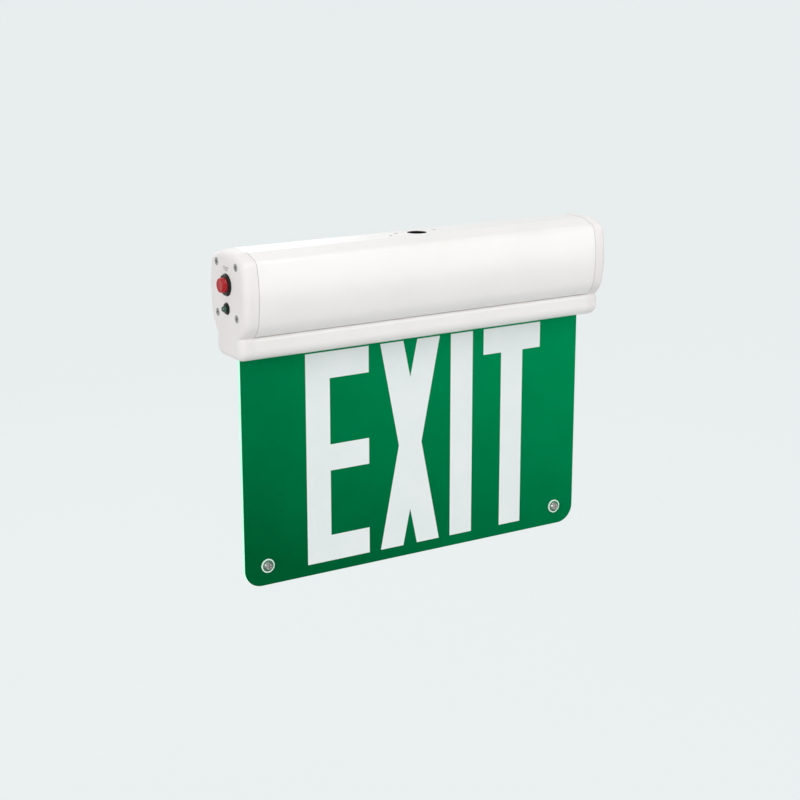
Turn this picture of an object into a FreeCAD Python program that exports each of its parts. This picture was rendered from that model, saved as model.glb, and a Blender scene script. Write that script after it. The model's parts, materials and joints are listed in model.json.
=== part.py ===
"""Edge-lit emergency exit light for ceiling fixing.

An extruded housing with two screwed end caps carries a lamp rail, and the rail grips
a clear light panel with a green EXIT legend.  Inside are a standby battery, a charger
board and the wiring.  The left cap holds the test button and the charge indicator.

Frame: millimetres, +X along the sign to the right, -Y out of the legend, +Z up.  The
origin is the middle of the flat strip on top, where the sign meets the ceiling.
"""
import FreeCAD, Part
import itertools
import math
import os

import Sketcher
from FreeCAD import Placement, Rotation, Vector

doc = FreeCAD.newDocument("exit_light")
sheet = doc.addObject("Spreadsheet::Sheet", "Sizes")


class Size:
    """A number with the spreadsheet expression that gives it."""

    def __init__(self, value, text):
        self.value = value
        self.text = text

    @staticmethod
    def of(item):
        return item if isinstance(item, Size) else Size(float(item), repr(float(item)))

    def join(self, other, sign, result):
        return Size(result, f"({self.text} {sign} {Size.of(other).text})")

    def __add__(self, other):
        return self.join(other, "+", self.value + Size.of(other).value)

    def __sub__(self, other):
        return self.join(other, "-", self.value - Size.of(other).value)

    def __mul__(self, other):
        return self.join(other, "*", self.value * Size.of(other).value)

    def __truediv__(self, other):
        return self.join(other, "/", self.value / Size.of(other).value)

    def __radd__(self, other):
        return Size.of(other) + self

    def __rsub__(self, other):
        return Size.of(other) - self

    def __rmul__(self, other):
        return Size.of(other) * self

    def __neg__(self):
        return Size.of(0) - self


rows = itertools.count(1)


def cell(alias, value):
    """Write one driving dimension to the sheet and return it as a Size."""
    row = next(rows)
    sheet.set(f"A{row}", alias)
    sheet.set(f"B{row}", str(value))
    sheet.setAlias(f"B{row}", alias)
    return Size(float(value), f"Sizes.{alias}")


# ---- driving dimensions -------------------------------------------------------------

# Housing section, half of it; the other half is its mirror image about the XZ plane.
cover_length = cell("cover_length", 275)
wall = cell("wall", 1.8)
floor_thick = cell("floor_thick", 2)
strip_half = cell("strip_half", 10)
shoulder_half = cell("shoulder_half", 20.5)
shoulder_drop = cell("shoulder_drop", 3.4)
corner_drop = cell("corner_drop", 5.2)
corner_half = cell("corner_half", 24.4)
belly_half = cell("belly_half", 26.7)
belly_drop = cell("belly_drop", 27)
hip_half = cell("hip_half", 25)
hip_drop = cell("hip_drop", 17.5)
neck_half = cell("neck_half", 17.5)
cover_height = cell("cover_height", 55.5)
corner_bulge = cell("corner_bulge", 0.62)
neck_bulge = cell("neck_bulge", 0.72)

# Lamp rail under the housing.
rail_height = cell("rail_height", 16.5)
rail_half = cell("rail_half", 18.4)
rail_wall = cell("rail_wall", 2.6)
rail_web = cell("rail_web", 2)
rail_lip = cell("rail_lip", 2.5)
rail_round = cell("rail_round", 7.5)
groove_depth = cell("groove_depth", 0.5)
groove_width = cell("groove_width", 2.8)
crown_set = cell("crown_set", 0.5)
crown_drop = cell("crown_drop", 3.2)
crown_middle = cell("crown_middle", 1.3)
ceiling_bevel = cell("ceiling_bevel", 2)

# End caps.
cap_depth = cell("cap_depth", 10.5)
cap_face = cell("cap_face", 2.2)
cap_wall = cell("cap_wall", 2)
cap_round = cell("cap_round", 5)
post_radius = cell("post_radius", 4)
channel_radius = cell("channel_radius", 3.5)
channel_half = cell("channel_half", 14)
upper_channel = cell("upper_channel", 8.4)
lower_channel = cell("lower_channel", 42.6)
channel_web = cell("channel_web", 3)

# Screws: shank radii, and the play of a shank in its hole.
screw_radius = cell("screw_radius", 1.5)
small_radius = cell("small_radius", 1.25)
screw_play = cell("screw_play", 0.1)
pan_radius = cell("pan_radius", 2.75)
pan_height = cell("pan_height", 1.8)
small_pan = cell("small_pan", 2.2)
small_height = cell("small_height", 1.4)
head_draft = cell("head_draft", 0.72)
head_recess = cell("head_recess", 1.2)
cap_screw_length = cell("cap_screw_length", 20)
cap_head_radius = cell("cap_head_radius", 2.7)
cap_head_depth = cell("cap_head_depth", 1.5)
recess_long = cell("recess_long", 3)
recess_wide = cell("recess_wide", 0.7)
recess_deep = cell("recess_deep", 0.9)

# Light panel, its films and what fixes them.
panel_overlap = cell("panel_overlap", 3)
panel_grip = cell("panel_grip", 9.5)
guide_thick = cell("guide_thick", 3)
film_thick = cell("film_thick", 0.3)
panel_round = cell("panel_round", 13)
slot_play = cell("slot_play", 0.4)
stud_inset = cell("stud_inset", 17.5)
stud_rise = cell("stud_rise", 14.1)
stud_head = cell("stud_head", 3)
stud_height = cell("stud_height", 1.7)
washer_radius = cell("washer_radius", 5)
washer_thick = cell("washer_thick", 0.8)
nut_across = cell("nut_across", 5.5)
nut_height = cell("nut_height", 2.4)
stud_tail = cell("stud_tail", 0.8)

# Legend strokes.
letter_height = cell("letter_height", 152.4)
stroke = cell("stroke", 19.05)
letter_drop = cell("letter_drop", 4)
letter_foot = cell("letter_foot", 8)
legend_shift = cell("legend_shift", 7.9)
letter_e_width = cell("letter_e_width", 50.4)
letter_x_width = cell("letter_x_width", 49.7)
letter_t_width = cell("letter_t_width", 50.5)
letter_gap = cell("letter_gap", 9.45)
middle_bar_drop = cell("middle_bar_drop", 66.7)
notch_depth = cell("notch_depth", 27)

# Clamp bars that carry the panel in the rail.
bar_inset = cell("bar_inset", 10)
bar_thick = cell("bar_thick", 6)
bar_height = cell("bar_height", 6.5)
clamp_pitch = cell("clamp_pitch", 68)

# Lamp board in the rail.
lamp_inset = cell("lamp_inset", 6.5)
lamp_half = cell("lamp_half", 6)
board_thick = cell("board_thick", 1.6)
chip_pitch = cell("chip_pitch", 10)
chip_long = cell("chip_long", 3.5)
chip_wide = cell("chip_wide", 2.8)
chip_high = cell("chip_high", 0.8)
lamp_screw_inset = cell("lamp_screw_inset", 5.5)
lamp_wire_radius = cell("lamp_wire_radius", 2.2)
lamp_wire_inset = cell("lamp_wire_inset", 5)
lamp_wire_gap = cell("lamp_wire_gap", 0.6)
rail_screw_half = cell("rail_screw_half", 11)
rail_screw_inset = cell("rail_screw_inset", 32.5)
rail_screw_length = cell("rail_screw_length", 7)

# Top: cable entry and canopy screw holes.
entry_radius = cell("entry_radius", 6.8)
grommet_wall = cell("grommet_wall", 1.1)
grommet_flange = cell("grommet_flange", 9.4)
flange_thick = cell("flange_thick", 0.9)
fit_play = cell("fit_play", 0.1)
canopy_hole = cell("canopy_hole", 1.8)
canopy_spacing = cell("canopy_spacing", 31)
canopy_setback = cell("canopy_setback", 2.4)
pilot_hole = cell("pilot_hole", 1.4)
pilot_left = cell("pilot_left", 23.6)
pilot_front = cell("pilot_front", 3.5)

# Gear tray and circuit board.
rest_half = cell("rest_half", 2)
rest_height = cell("rest_height", 5.2)
tray_left_inset = cell("tray_left_inset", 25.5)
tray_right_inset = cell("tray_right_inset", 7.5)
tray_half = cell("tray_half", 21.5)
tray_thick = cell("tray_thick", 1.2)
tray_screw_inset = cell("tray_screw_inset", 33.5)
tray_screw_length = cell("tray_screw_length", 4.5)
wire_hole_inset = cell("wire_hole_inset", 9)
wire_hole_back = cell("wire_hole_back", 4)
wire_hole_radius = cell("wire_hole_radius", 4.5)
board_inset = cell("board_inset", 6)
board_length = cell("board_length", 94)
board_half = cell("board_half", 18)
standoff_height = cell("standoff_height", 5)
standoff_radius = cell("standoff_radius", 3)
standoff_inset = cell("standoff_inset", 4)
standoff_end = cell("standoff_end", 14)
board_screw_length = cell("board_screw_length", 6)

# Battery and its saddles.
battery_length = cell("battery_length", 100)
battery_radius = cell("battery_radius", 7.25)
battery_gap = cell("battery_gap", 16)
waist_radius = cell("waist_radius", 1.2)
waist_out = cell("waist_out", 0.9)
saddle_width = cell("saddle_width", 8)
saddle_thick = cell("saddle_thick", 0.8)
saddle_foot = cell("saddle_foot", 5.2)
saddle_inset = cell("saddle_inset", 24)

# Test button, switch and indicator on the left cap.
button_drop = cell("button_drop", 22)
button_radius = cell("button_radius", 5)
button_proud = cell("button_proud", 3.5)
button_travel = cell("button_travel", 2)
button_tail = cell("button_tail", 9.5)
collar_radius = cell("collar_radius", 5.5)
collar_thick = cell("collar_thick", 2)
collar_at = cell("collar_at", 4)
button_play = cell("button_play", 0.1)
button_bevel = cell("button_bevel", 0.6)
bezel_radius = cell("bezel_radius", 7.6)
bezel_thick = cell("bezel_thick", 1.6)
bezel_draft = cell("bezel_draft", 0.8)
barrel_radius = cell("barrel_radius", 6.6)
barrel_length = cell("barrel_length", 22)
switch_nut_across = cell("switch_nut_across", 16)
switch_nut_height = cell("switch_nut_height", 2.5)
terminal_wide = cell("terminal_wide", 2.8)
terminal_thick = cell("terminal_thick", 0.5)
terminal_long = cell("terminal_long", 5)
terminal_spread = cell("terminal_spread", 3)
spring_radius = cell("spring_radius", 3.4)
spring_wire = cell("spring_wire", 0.4)
spring_turns = cell("spring_turns", 4)
spring_slack = cell("spring_slack", 0.5)
lamp_drop = cell("lamp_drop", 38)
lens_radius = cell("lens_radius", 2.5)
lens_proud = cell("lens_proud", 2.8)
lens_tail = cell("lens_tail", 7)
lamp_bezel_radius = cell("lamp_bezel_radius", 4.2)
lamp_bezel_thick = cell("lamp_bezel_thick", 1.1)
lamp_bezel_draft = cell("lamp_bezel_draft", 0.65)
lamp_barrel_radius = cell("lamp_barrel_radius", 3.2)
lamp_barrel_length = cell("lamp_barrel_length", 13)
lamp_nut_across = cell("lamp_nut_across", 8)
lamp_nut_height = cell("lamp_nut_height", 2)

# Board parts.
board_edge = cell("board_edge", 1)
transformer_gap = cell("transformer_gap", 12)
transformer_long = cell("transformer_long", 28)
transformer_half = cell("transformer_half", 6)
transformer_high = cell("transformer_high", 17)
limb_wide = cell("limb_wide", 3.6)
yoke_high = cell("yoke_high", 4.2)
winding_over = cell("winding_over", 2.5)
part_gap = cell("part_gap", 3)
capacitor_radius = cell("capacitor_radius", 5)
capacitor_high = cell("capacitor_high", 15)
relay_long = cell("relay_long", 18)
relay_wide = cell("relay_wide", 14)
relay_high = cell("relay_high", 14)
terminal_block_long = cell("terminal_block_long", 9)
terminal_block_wide = cell("terminal_block_wide", 15)
terminal_block_high = cell("terminal_block_high", 10)
terminal_block_set = cell("terminal_block_set", 1)
mouth_wide = cell("mouth_wide", 3.2)
mouth_high = cell("mouth_high", 3.6)
mouth_deep = cell("mouth_deep", 5)
mouth_rise = cell("mouth_rise", 1.7)
well_deep = cell("well_deep", 3)
well_at = cell("well_at", 4)
slotted_high = cell("slotted_high", 1.6)
slotted_wide = cell("slotted_wide", 0.8)
slotted_deep = cell("slotted_deep", 0.6)
socket_long = cell("socket_long", 6)
socket_wide = cell("socket_wide", 4)
socket_high = cell("socket_high", 5.6)
socket_pitch = cell("socket_pitch", 4.4)
socket_first = cell("socket_first", 2.6)
plug_long = cell("plug_long", 4.5)
plug_inset = cell("plug_inset", 0.4)

# Leads.
lead_radius = cell("lead_radius", 0.6)
lead_spacing = cell("lead_spacing", 1.5)
lead_play = cell("lead_play", 0.1)
lead_straight = cell("lead_straight", 2.5)
lead_bend = cell("lead_bend", 3)
hole_inset = cell("hole_inset", 1.5)
switch_lead_half = cell("switch_lead_half", 11)
indicator_lead_half = cell("indicator_lead_half", 17.5)
lead_rise = cell("lead_rise", 2.6)

# ---- places worked out from them ----------------------------------------------------

half_cover = cover_length / 2
bar_length = cover_length - bar_inset * 2
lamp_length = cover_length - lamp_inset * 2
rail_screw_pitch = half_cover - rail_screw_inset
tray_left = half_cover - tray_left_inset
tray_right = half_cover - tray_right_inset
tray_screw_at = half_cover - tray_screw_inset
board_right = tray_right - board_inset
board_left = board_right - board_length
battery_right = board_left - battery_gap
wire_hole_at = board_left - wire_hole_inset
lamp_wire_at = board_left + lamp_wire_inset
panel_width = cover_length + panel_overlap * 2
panel_shown = letter_drop + letter_height + letter_foot
end_face = half_cover + cap_depth
cover_bottom = -cover_height
crown = cover_bottom - groove_depth
rail_bottom = cover_bottom - rail_height
panel_top = rail_bottom + panel_grip
panel_bottom = rail_bottom - panel_shown
panel_thick = guide_thick + film_thick * 2
legend_face = -(panel_thick / 2)
floor_top = cover_bottom + floor_thick
tray_bottom = rest_height - lower_channel
tray_top = tray_bottom + tray_thick
board_bottom = tray_top + standoff_height
board_top = board_bottom + board_thick
lamp_top = cover_bottom - rail_web
lamp_under = lamp_top - board_thick
screw_hole = screw_radius + screw_play
small_hole = small_radius + screw_play


# ---- building helpers ---------------------------------------------------------------

def bind(obj, prop, size):
    """Bind one property of an object to the sheet."""
    obj.setExpression(prop, Size.of(size).text)


def place(obj, point, turn=None):
    """Put an object's own origin at a point, with an optional fixed turn."""
    obj.Placement = Placement(Vector(*[Size.of(p).value for p in point]), turn or Rotation())
    for letter, size in zip("xyz", point):
        bind(obj, f"Placement.Base.{letter}", size)
    return obj


TURNS = {
    "X": Rotation(Vector(0, 1, 0), 90),
    "Y": Rotation(Vector(1, 0, 0), -90),
    "Z": Rotation(),
    "-X": Rotation(Vector(0, 1, 0), -90),
    "-Y": Rotation(Vector(1, 0, 0), 90),
    "-Z": Rotation(Vector(1, 0, 0), 180),
}


def box(name, low, high):
    """A block between two corners."""
    item = doc.addObject("Part::Box", name)
    for prop, start, stop in zip(("Length", "Width", "Height"), low, high):
        bind(item, prop, Size.of(stop) - start)
    return place(item, low)


def rod(name, start, axis, radius, length):
    """A cylinder that runs from a point along one of the signed axes."""
    item = doc.addObject("Part::Cylinder", name)
    bind(item, "Radius", radius)
    bind(item, "Height", length)
    return place(item, start, TURNS[axis])


def cone(name, start, axis, first, last, length):
    """A truncated cone from its first radius to its last."""
    item = doc.addObject("Part::Cone", name)
    bind(item, "Radius1", first)
    bind(item, "Radius2", last)
    bind(item, "Height", length)
    return place(item, start, TURNS[axis])


def hexagon(name, start, axis, across, length):
    """A hexagonal block, as wide across its flats as stated."""
    item = doc.addObject("Part::Prism", name)
    item.Polygon = 6
    bind(item, "Circumradius", Size.of(across) / math.sqrt(3))
    bind(item, "Height", length)
    return place(item, start, TURNS[axis])


def fuse(name, items):
    """Several overlapping or touching solids made into one."""
    item = doc.addObject("Part::MultiFuse", name)
    item.Shapes = items
    item.Refine = True
    return item


def cut(name, base, tools):
    """A solid with others taken away from it."""
    item = doc.addObject("Part::Cut", name)
    item.Base = base
    item.Tool = tools[0] if len(tools) == 1 else fuse(f"{name}_tools", tools)
    return item


def group(name, items):
    """Like pieces kept as separate solids of one sub-part."""
    item = doc.addObject("Part::Compound", name)
    item.Links = items
    return item


def fix_point(sketch, geometry, end, point):
    """Hold one sketch point at a pair of sizes measured from the sketch origin."""
    for kind, size in zip(("DistanceX", "DistanceY"), point):
        size = Size.of(size)
        index = sketch.addConstraint(Sketcher.Constraint(kind, -1, 1, geometry, end, size.value))
        bind(sketch, f"Constraints[{index}]", size)


def draw(sketch, steps):
    """Draw a closed outline.

    Each step is (point,) for a straight run to that point, or (through, point) for an
    arc; the last step's point is where the outline starts.
    """
    def flat(point):
        return Vector(Size.of(point[0]).value, Size.of(point[1]).value, 0)

    start = steps[-1][-1]
    first = None
    before = None
    for step in steps:
        stop = step[-1]
        if len(step) == 1:
            edge = Part.LineSegment(flat(start), flat(stop))
        else:
            edge = Part.Arc(flat(start), flat(step[0]), flat(stop))
        index = sketch.addGeometry(edge, False)
        begin, finish = 1, 2
        if len(step) == 2:
            if sketch.getPoint(index, 1).distanceToPoint(flat(start)) > 1e-6:
                begin, finish = 2, 1
            through = sketch.addGeometry(Part.Point(flat(step[0])), True)
            fix_point(sketch, through, 1, step[0])
            sketch.addConstraint(Sketcher.Constraint("PointOnObject", through, 1, index))
        if before is not None:
            sketch.addConstraint(Sketcher.Constraint("Coincident", before[0], before[1], index, begin))
        first = first or (index, begin)
        fix_point(sketch, index, finish, stop)
        before = (index, finish)
        start = stop
    sketch.addConstraint(Sketcher.Constraint("Coincident", before[0], before[1], first[0], first[1]))


def slab(name, plane, outlines, length, at):
    """A PartDesign body: outlines on an origin plane, padded along that plane's normal.

    The YZ plane pads towards +X and the XZ plane towards -Y.  ``at`` is the body's own
    origin.
    """
    body = doc.addObject("PartDesign::Body", name)
    sketch = body.newObject("Sketcher::SketchObject", f"{name}_outline")
    origin = [f for f in body.Origin.OriginFeatures if f.Role == plane][0]
    sketch.AttachmentSupport = (origin, [""])
    sketch.MapMode = "FlatFace"
    for steps in outlines:
        draw(sketch, steps)
    pad = body.newObject("PartDesign::Pad", f"{name}_pad")
    pad.Profile = sketch
    bind(pad, "Length", length)
    doc.recompute()
    return place(body, at)


def section(table, inset):
    """Close a half section, drawn from the top middle down, with its mirror image.

    Each row of the table is one point, or an arc's middle point and its end.  A point is
    (half, height, inward, upward): where it lies, and how far it moves towards the middle
    and upwards for each millimetre of inset.
    """
    half = [[(x - inset * inward, z + inset * upward) for x, z, inward, upward in row] for row in table]
    back = []
    for index in range(len(half) - 1, 0, -1):
        ends = [*half[index][:-1], half[index - 1][-1]]
        back.append([(-x, z) for x, z in ends])
    bottom = half[-1][-1]
    return [*half[1:], [(-bottom[0], bottom[1])], *back, [half[0][-1]]]


named = []


def keep(item, label):
    """Name a finished sub-part and list it for writing."""
    item.Label = label
    named.append(item)
    return item


# ---- housing, rail and caps ---------------------------------------------------------

def cover_table(foot):
    """The housing's half section, from the flat strip on top down to its foot."""
    corner = -shoulder_drop - corner_drop
    hip = -belly_drop - hip_drop
    return [
        [(strip_half, Size.of(0), 0, -1)],
        [(shoulder_half, -shoulder_drop, 0.4, -1)],
        [(shoulder_half + (corner_half - shoulder_half) * corner_bulge, -corner_drop, 0.75, -0.7),
         (corner_half, corner, 1, -0.2)],
        [(belly_half, -belly_drop, 1, 0), (hip_half, hip, 1, 0)],
        [(neck_half + (hip_half - neck_half) * neck_bulge, (hip + cover_bottom) / 2, 0.85, 0.5), foot],
    ]


def rail_table(start):
    """The rail's half section under the crown, with its bottom edge a quarter round."""
    bend = rail_round * math.sqrt(0.5)
    turn_half, turn_level = rail_half - rail_round, rail_bottom + rail_round
    shorter = math.sqrt(0.5)
    return [
        start,
        [(rail_half - crown_middle / 4, crown - crown_middle, 1.1, -0.5),
         (rail_half, crown - crown_drop, 1, -0.7)],
        [(rail_half, turn_level, 1, 0)],
        [(turn_half + bend, turn_level - bend, shorter, shorter), (turn_half, rail_bottom, 0, 1)],
    ]


def channel_spots():
    """Where the four screw channels run: (number, Y, Z)."""
    spots = [(channel_half * side, -drop) for drop in (upper_channel, lower_channel) for side in (-1, 1)]
    return [(number, *spot) for number, spot in enumerate(spots)]


def channel_rib(name, spot, start, stop):
    """The rib that ties a channel to the skin: upwards for the upper pair, else outwards."""
    number, across, height = spot
    if number < 2:
        return box(name, (start, across - channel_web / 2, height), (stop, across + channel_web / 2, 0))
    reach = sorted((across, hip_half * (number * 2 - 5)), key=lambda size: size.value)
    return box(name, (start, reach[0], height - channel_web / 2), (stop, reach[1], height + channel_web / 2))


def housing_shell():
    left = (-half_cover, 0, 0)
    outside = section(cover_table((neck_half, cover_bottom, 1, 0)), 0)
    inside = section(cover_table((neck_half + floor_thick, floor_top, 1, 0)), wall)
    outer = slab("housing_outer", "YZ_Plane", [outside], cover_length, left)
    hollow = slab("housing_hollow", "YZ_Plane", [inside], cover_length, left)
    kept = []
    for spot in channel_spots():
        number, across, height = spot
        kept.append(rod(f"channel_{number}", (-half_cover, across, height), "X", channel_radius,
                        cover_length))
        kept.append(channel_rib(f"channel_rib_{number}", spot, -half_cover, half_cover))
        if number > 1:
            kept.append(box(f"tray_rest_{number}", (-half_cover, across - rest_half, height),
                            (half_cover, across + rest_half, tray_bottom)))
    taken = [cut("housing_space", hollow, kept)]
    for number, across, height in channel_spots():
        taken.append(rod(f"channel_bore_{number}", (-half_cover, across, height), "X", screw_hole,
                         cover_length))
    for number, spot in enumerate(rail_screw_spots()):
        taken.append(rod(f"floor_hole_{number}", (*spot, floor_top), "-Z", screw_hole, floor_thick))
    for number, spot in enumerate(saddle_screw_spots()):
        taken.append(rod(f"saddle_pilot_{number}", (*spot, floor_top), "-Z", small_hole, floor_thick))
    for number, spot in enumerate(tray_screw_spots()):
        taken.append(rod(f"tray_pilot_{number}", (*spot, tray_bottom), "-Z", screw_hole, tray_screw_length))
    taken.append(rod("lamp_wire_floor", (*lamp_wire_spot(), floor_top), "-Z", lamp_wire_radius, floor_thick))
    taken.append(rod("entry_hole", (0, 0, 0), "-Z", entry_radius + grommet_wall + fit_play, wall))
    taken.append(rod("entry_seat", (0, 0, 0), "-Z", grommet_flange + fit_play, flange_thick))
    for side in (-1, 1):
        at = (canopy_spacing / 2 * side, canopy_setback, 0)
        taken.append(rod(f"canopy_hole_{side + 1}", at, "-Z", canopy_hole, wall))
    taken.append(rod("canopy_pilot", (-pilot_left, -pilot_front, 0), "-Z", pilot_hole, wall))
    return cut("housing_shell_solid", outer, taken)


def rail_screw_spots():
    """X and Y of the six screws that hold the rail up to the housing floor."""
    return [(rail_screw_pitch * step, rail_screw_half * side) for step in (-1, 0, 1) for side in (-1, 1)]


def saddle_spots():
    """Middle X of the two saddles over the battery."""
    return [battery_right - battery_length + saddle_inset, battery_right - saddle_inset]


def saddle_screw_spots():
    across = battery_radius + saddle_thick + saddle_foot / 2
    return [(spot, across * side) for spot in saddle_spots() for side in (-1, 1)]


def tray_screw_spots():
    return [(tray_screw_at * end, channel_half * side) for end in (-1, 1) for side in (-1, 1)]


def lamp_wire_spot():
    """X and Y of the hole that takes the lamp leads from the housing to the rail."""
    return (lamp_wire_at, lamp_half + lamp_wire_radius + lamp_wire_gap)


def lower_rail():
    start = (-half_cover, 0, 0)
    groove = neck_half - groove_width
    top = [[(groove, cover_bottom, 0, 0)], [(groove, crown, 0, 0)], [(neck_half - crown_set, crown, 0, 0)]]
    outer = slab("rail_outer", "YZ_Plane", [section(top[:2] + rail_table(top[2]), 0)], cover_length, start)
    inside = rail_half - rail_wall
    low = rail_bottom + rail_lip
    round_in = rail_round - rail_wall
    hollow = slab("rail_hollow", "YZ_Plane", [section([
        [(inside - ceiling_bevel, lamp_top, 0, 0)],
        [(inside, lamp_top - ceiling_bevel, 0, 0)],
        [(inside, low + round_in, 0, 0)],
        [(inside - round_in, low, 0, 0)],
    ], 0)], cover_length, start)
    slot_half = panel_thick / 2 + slot_play
    slot = box("rail_slot", (-half_cover, -slot_half, rail_bottom), (half_cover, slot_half, low))
    taken = [hollow, slot]
    for number, spot in enumerate(rail_screw_spots()):
        taken.append(rod(f"rail_pilot_{number}", (*spot, cover_bottom), "-Z", screw_hole, rail_web))
    for number, spot in enumerate(lamp_screw_spots()):
        taken.append(rod(f"lamp_pilot_{number}", (*spot, cover_bottom), "-Z", small_hole, rail_web))
    taken.append(rod("lamp_wire_web", (*lamp_wire_spot(), cover_bottom), "-Z", lamp_wire_radius, rail_web))
    return cut("lower_rail_solid", outer, taken)


def cap_section(inset):
    """A cap's outline, housing and rail sections in one, drawn inset all round."""
    table = cover_table((neck_half, cover_bottom, 0.9, -0.28))
    return section(table + rail_table([(neck_half - crown_set, crown, 0.9, -0.28)]), inset)


CAP_STATIONS = (0, 22, 45, 67, 90)


def cap_outer(tag):
    """A cap's outer form: a straight skirt, and an edge rounded through lofted sections."""
    body = doc.addObject("PartDesign::Body", f"{tag}_cap_outer")
    plane = [f for f in body.Origin.OriginFeatures if f.Role == "YZ_Plane"][0]
    sections = []
    for angle in CAP_STATIONS:
        sketch = body.newObject("Sketcher::SketchObject", f"{tag}_cap_section_{angle}")
        sketch.AttachmentSupport = (plane, [""])
        sketch.MapMode = "FlatFace"
        along = cap_round * (1 - math.cos(math.radians(angle)))
        bind(sketch, "AttachmentOffset.Base.z", along)
        draw(sketch, cap_section(cap_round * (1 - math.sin(math.radians(angle)))))
        sections.append(sketch)
    doc.recompute()
    edge = body.newObject("PartDesign::AdditiveLoft", f"{tag}_cap_edge")
    edge.Profile = sections[0]
    edge.Sections = [(sketch, [""]) for sketch in sections[1:]]
    doc.recompute()
    skirt = body.newObject("PartDesign::Pad", f"{tag}_cap_skirt")
    skirt.Profile = sections[-1]
    bind(skirt, "Length", cap_depth - cap_round)
    body.Tip = skirt
    doc.recompute()
    return place(body, (-end_face, 0, 0))


def end_cap(side):
    """A hollow cap; its posts seat on the ends of the housing's screw channels."""
    tag = "left" if side < 0 else "right"
    inner_face = -end_face + cap_face
    hollow = slab(f"{tag}_cap_hollow", "YZ_Plane", [cap_section(cap_wall)], cap_depth - cap_face,
                  (inner_face, 0, 0))
    kept = []
    taken = []
    for spot in channel_spots():
        number, across, height = spot
        at = (-end_face, across, height)
        kept.append(rod(f"{tag}_post_{number}", at, "X", post_radius, cap_depth))
        kept.append(channel_rib(f"{tag}_post_rib_{number}", spot, inner_face, -half_cover))
        taken.append(rod(f"{tag}_cap_bore_{number}", at, "X", screw_hole, cap_depth))
        taken.append(cone(f"{tag}_cap_sink_{number}", at, "X", cap_head_radius + screw_play, screw_hole,
                          cap_head_depth))
    taken.append(cut(f"{tag}_cap_space", hollow, kept))
    slot_half = panel_thick / 2 + slot_play
    taken.append(box(f"{tag}_cap_slot", (-panel_width / 2 - slot_play, -slot_half, rail_bottom - slot_play),
                     (-half_cover, slot_half, rail_bottom + rail_lip)))
    if side < 0:
        taken.append(rod("switch_hole", (-end_face, 0, -button_drop), "X", barrel_radius + fit_play,
                         cap_face))
        taken.append(rod("lamp_hole", (-end_face, 0, -lamp_drop), "X", lamp_barrel_radius + fit_play,
                         cap_face))
    return turned(cut(f"{tag}_end_cap_solid", cap_outer(tag), taken), side)


def turned(item, side):
    """Leave a left-hand piece alone, or turn it half round about Z for the right end."""
    if side > 0:
        item.Placement = Placement(Vector(), Rotation(Vector(0, 0, 1), 180))
    return item


def shift(point, axis, distance):
    """A point moved along one of the signed axes."""
    moved = list(point)
    along = "XYZ".index(axis[-1])
    moved[along] = Size.of(moved[along]) + Size.of(distance) * (-1 if axis[0] == "-" else 1)
    return tuple(moved)


def cross_cut(name, top, axis, reach):
    """The cross recess of a screw head: two blades sunk from the head's outer face."""
    along = "XYZ".index(axis[-1])
    ends = sorted((top, shift(top, axis, recess_deep)), key=lambda point: Size.of(point[along]).value)
    blades = []
    for halves in ((reach / 2, recess_wide / 2), (recess_wide / 2, reach / 2)):
        low, high = (list(end) for end in ends)
        for letter, half in zip([n for n in range(3) if n != along], halves):
            low[letter] = top[letter] - half
            high[letter] = top[letter] + half
        blades.append(box(f"{name}_blade_{len(blades)}", low, high))
    return blades


def pan_screw(name, seat, axis, shank, length, head, height):
    """A pan-head screw driven along ``axis``, its head resting on ``seat``."""
    top = shift(seat, axis, -height)
    dome = cone(f"{name}_head", top, axis, head * head_draft, head, height)
    stem = rod(f"{name}_stem", seat, axis, shank, length)
    whole = fuse(f"{name}_blank", [dome, stem])
    return cut(name, whole, cross_cut(name, top, axis, head * head_recess))


def cap_screws(side):
    tag = "left" if side < 0 else "right"
    screws = []
    for number, across, height in channel_spots():
        name = f"{tag}_cap_screw_{number}"
        at = (-end_face, across, height)
        head = cone(f"{name}_head", at, "X", cap_head_radius, screw_radius, cap_head_depth)
        stem = rod(f"{name}_stem", at, "X", screw_radius, cap_screw_length)
        screws.append(cut(name, fuse(f"{name}_blank", [head, stem]), cross_cut(name, at, "X", recess_long)))
    return turned(group(f"{tag}_cap_screws_group", screws), side)


def cable_grommet():
    """A bush through the top: an upper flange sunk flush, a neck and a snap flange below."""
    neck = entry_radius + grommet_wall
    whole = fuse("grommet_blank", [
        rod("grommet_top", (0, 0, 0), "-Z", grommet_flange, flange_thick),
        rod("grommet_neck", (0, 0, 0), "-Z", neck, wall),
        rod("grommet_snap", (0, 0, -wall), "-Z", grommet_flange, flange_thick),
    ])
    bore = rod("grommet_bore", (0, 0, 0), "-Z", entry_radius, wall + flange_thick)
    return cut("cable_grommet_solid", whole, [bore])


# ---- light panel --------------------------------------------------------------------

def panel_outline():
    """The panel's outline on the XZ plane, its two lower corners rounded."""
    half = panel_width / 2
    bend = panel_round * (1 - math.sqrt(0.5))
    return [
        ((half, panel_top),),
        ((half, panel_bottom + panel_round),),
        ((half - bend, panel_bottom + bend), (half - panel_round, panel_bottom)),
        ((-half + panel_round, panel_bottom),),
        ((-half + bend, panel_bottom + bend), (-half, panel_bottom + panel_round)),
        ((-half, panel_top),),
    ]


def clamp_spots():
    """Middle X of the four screws through the clamp bars."""
    return [clamp_pitch * (step - 1.5) for step in range(4)]


def stud_spots():
    """X of the two studs near the panel's lower corners."""
    return [(panel_width / 2 - stud_inset) * side for side in (-1, 1)]


stud_level = panel_bottom + stud_rise
clamp_level = rail_bottom + rail_lip + bar_height / 2


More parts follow.
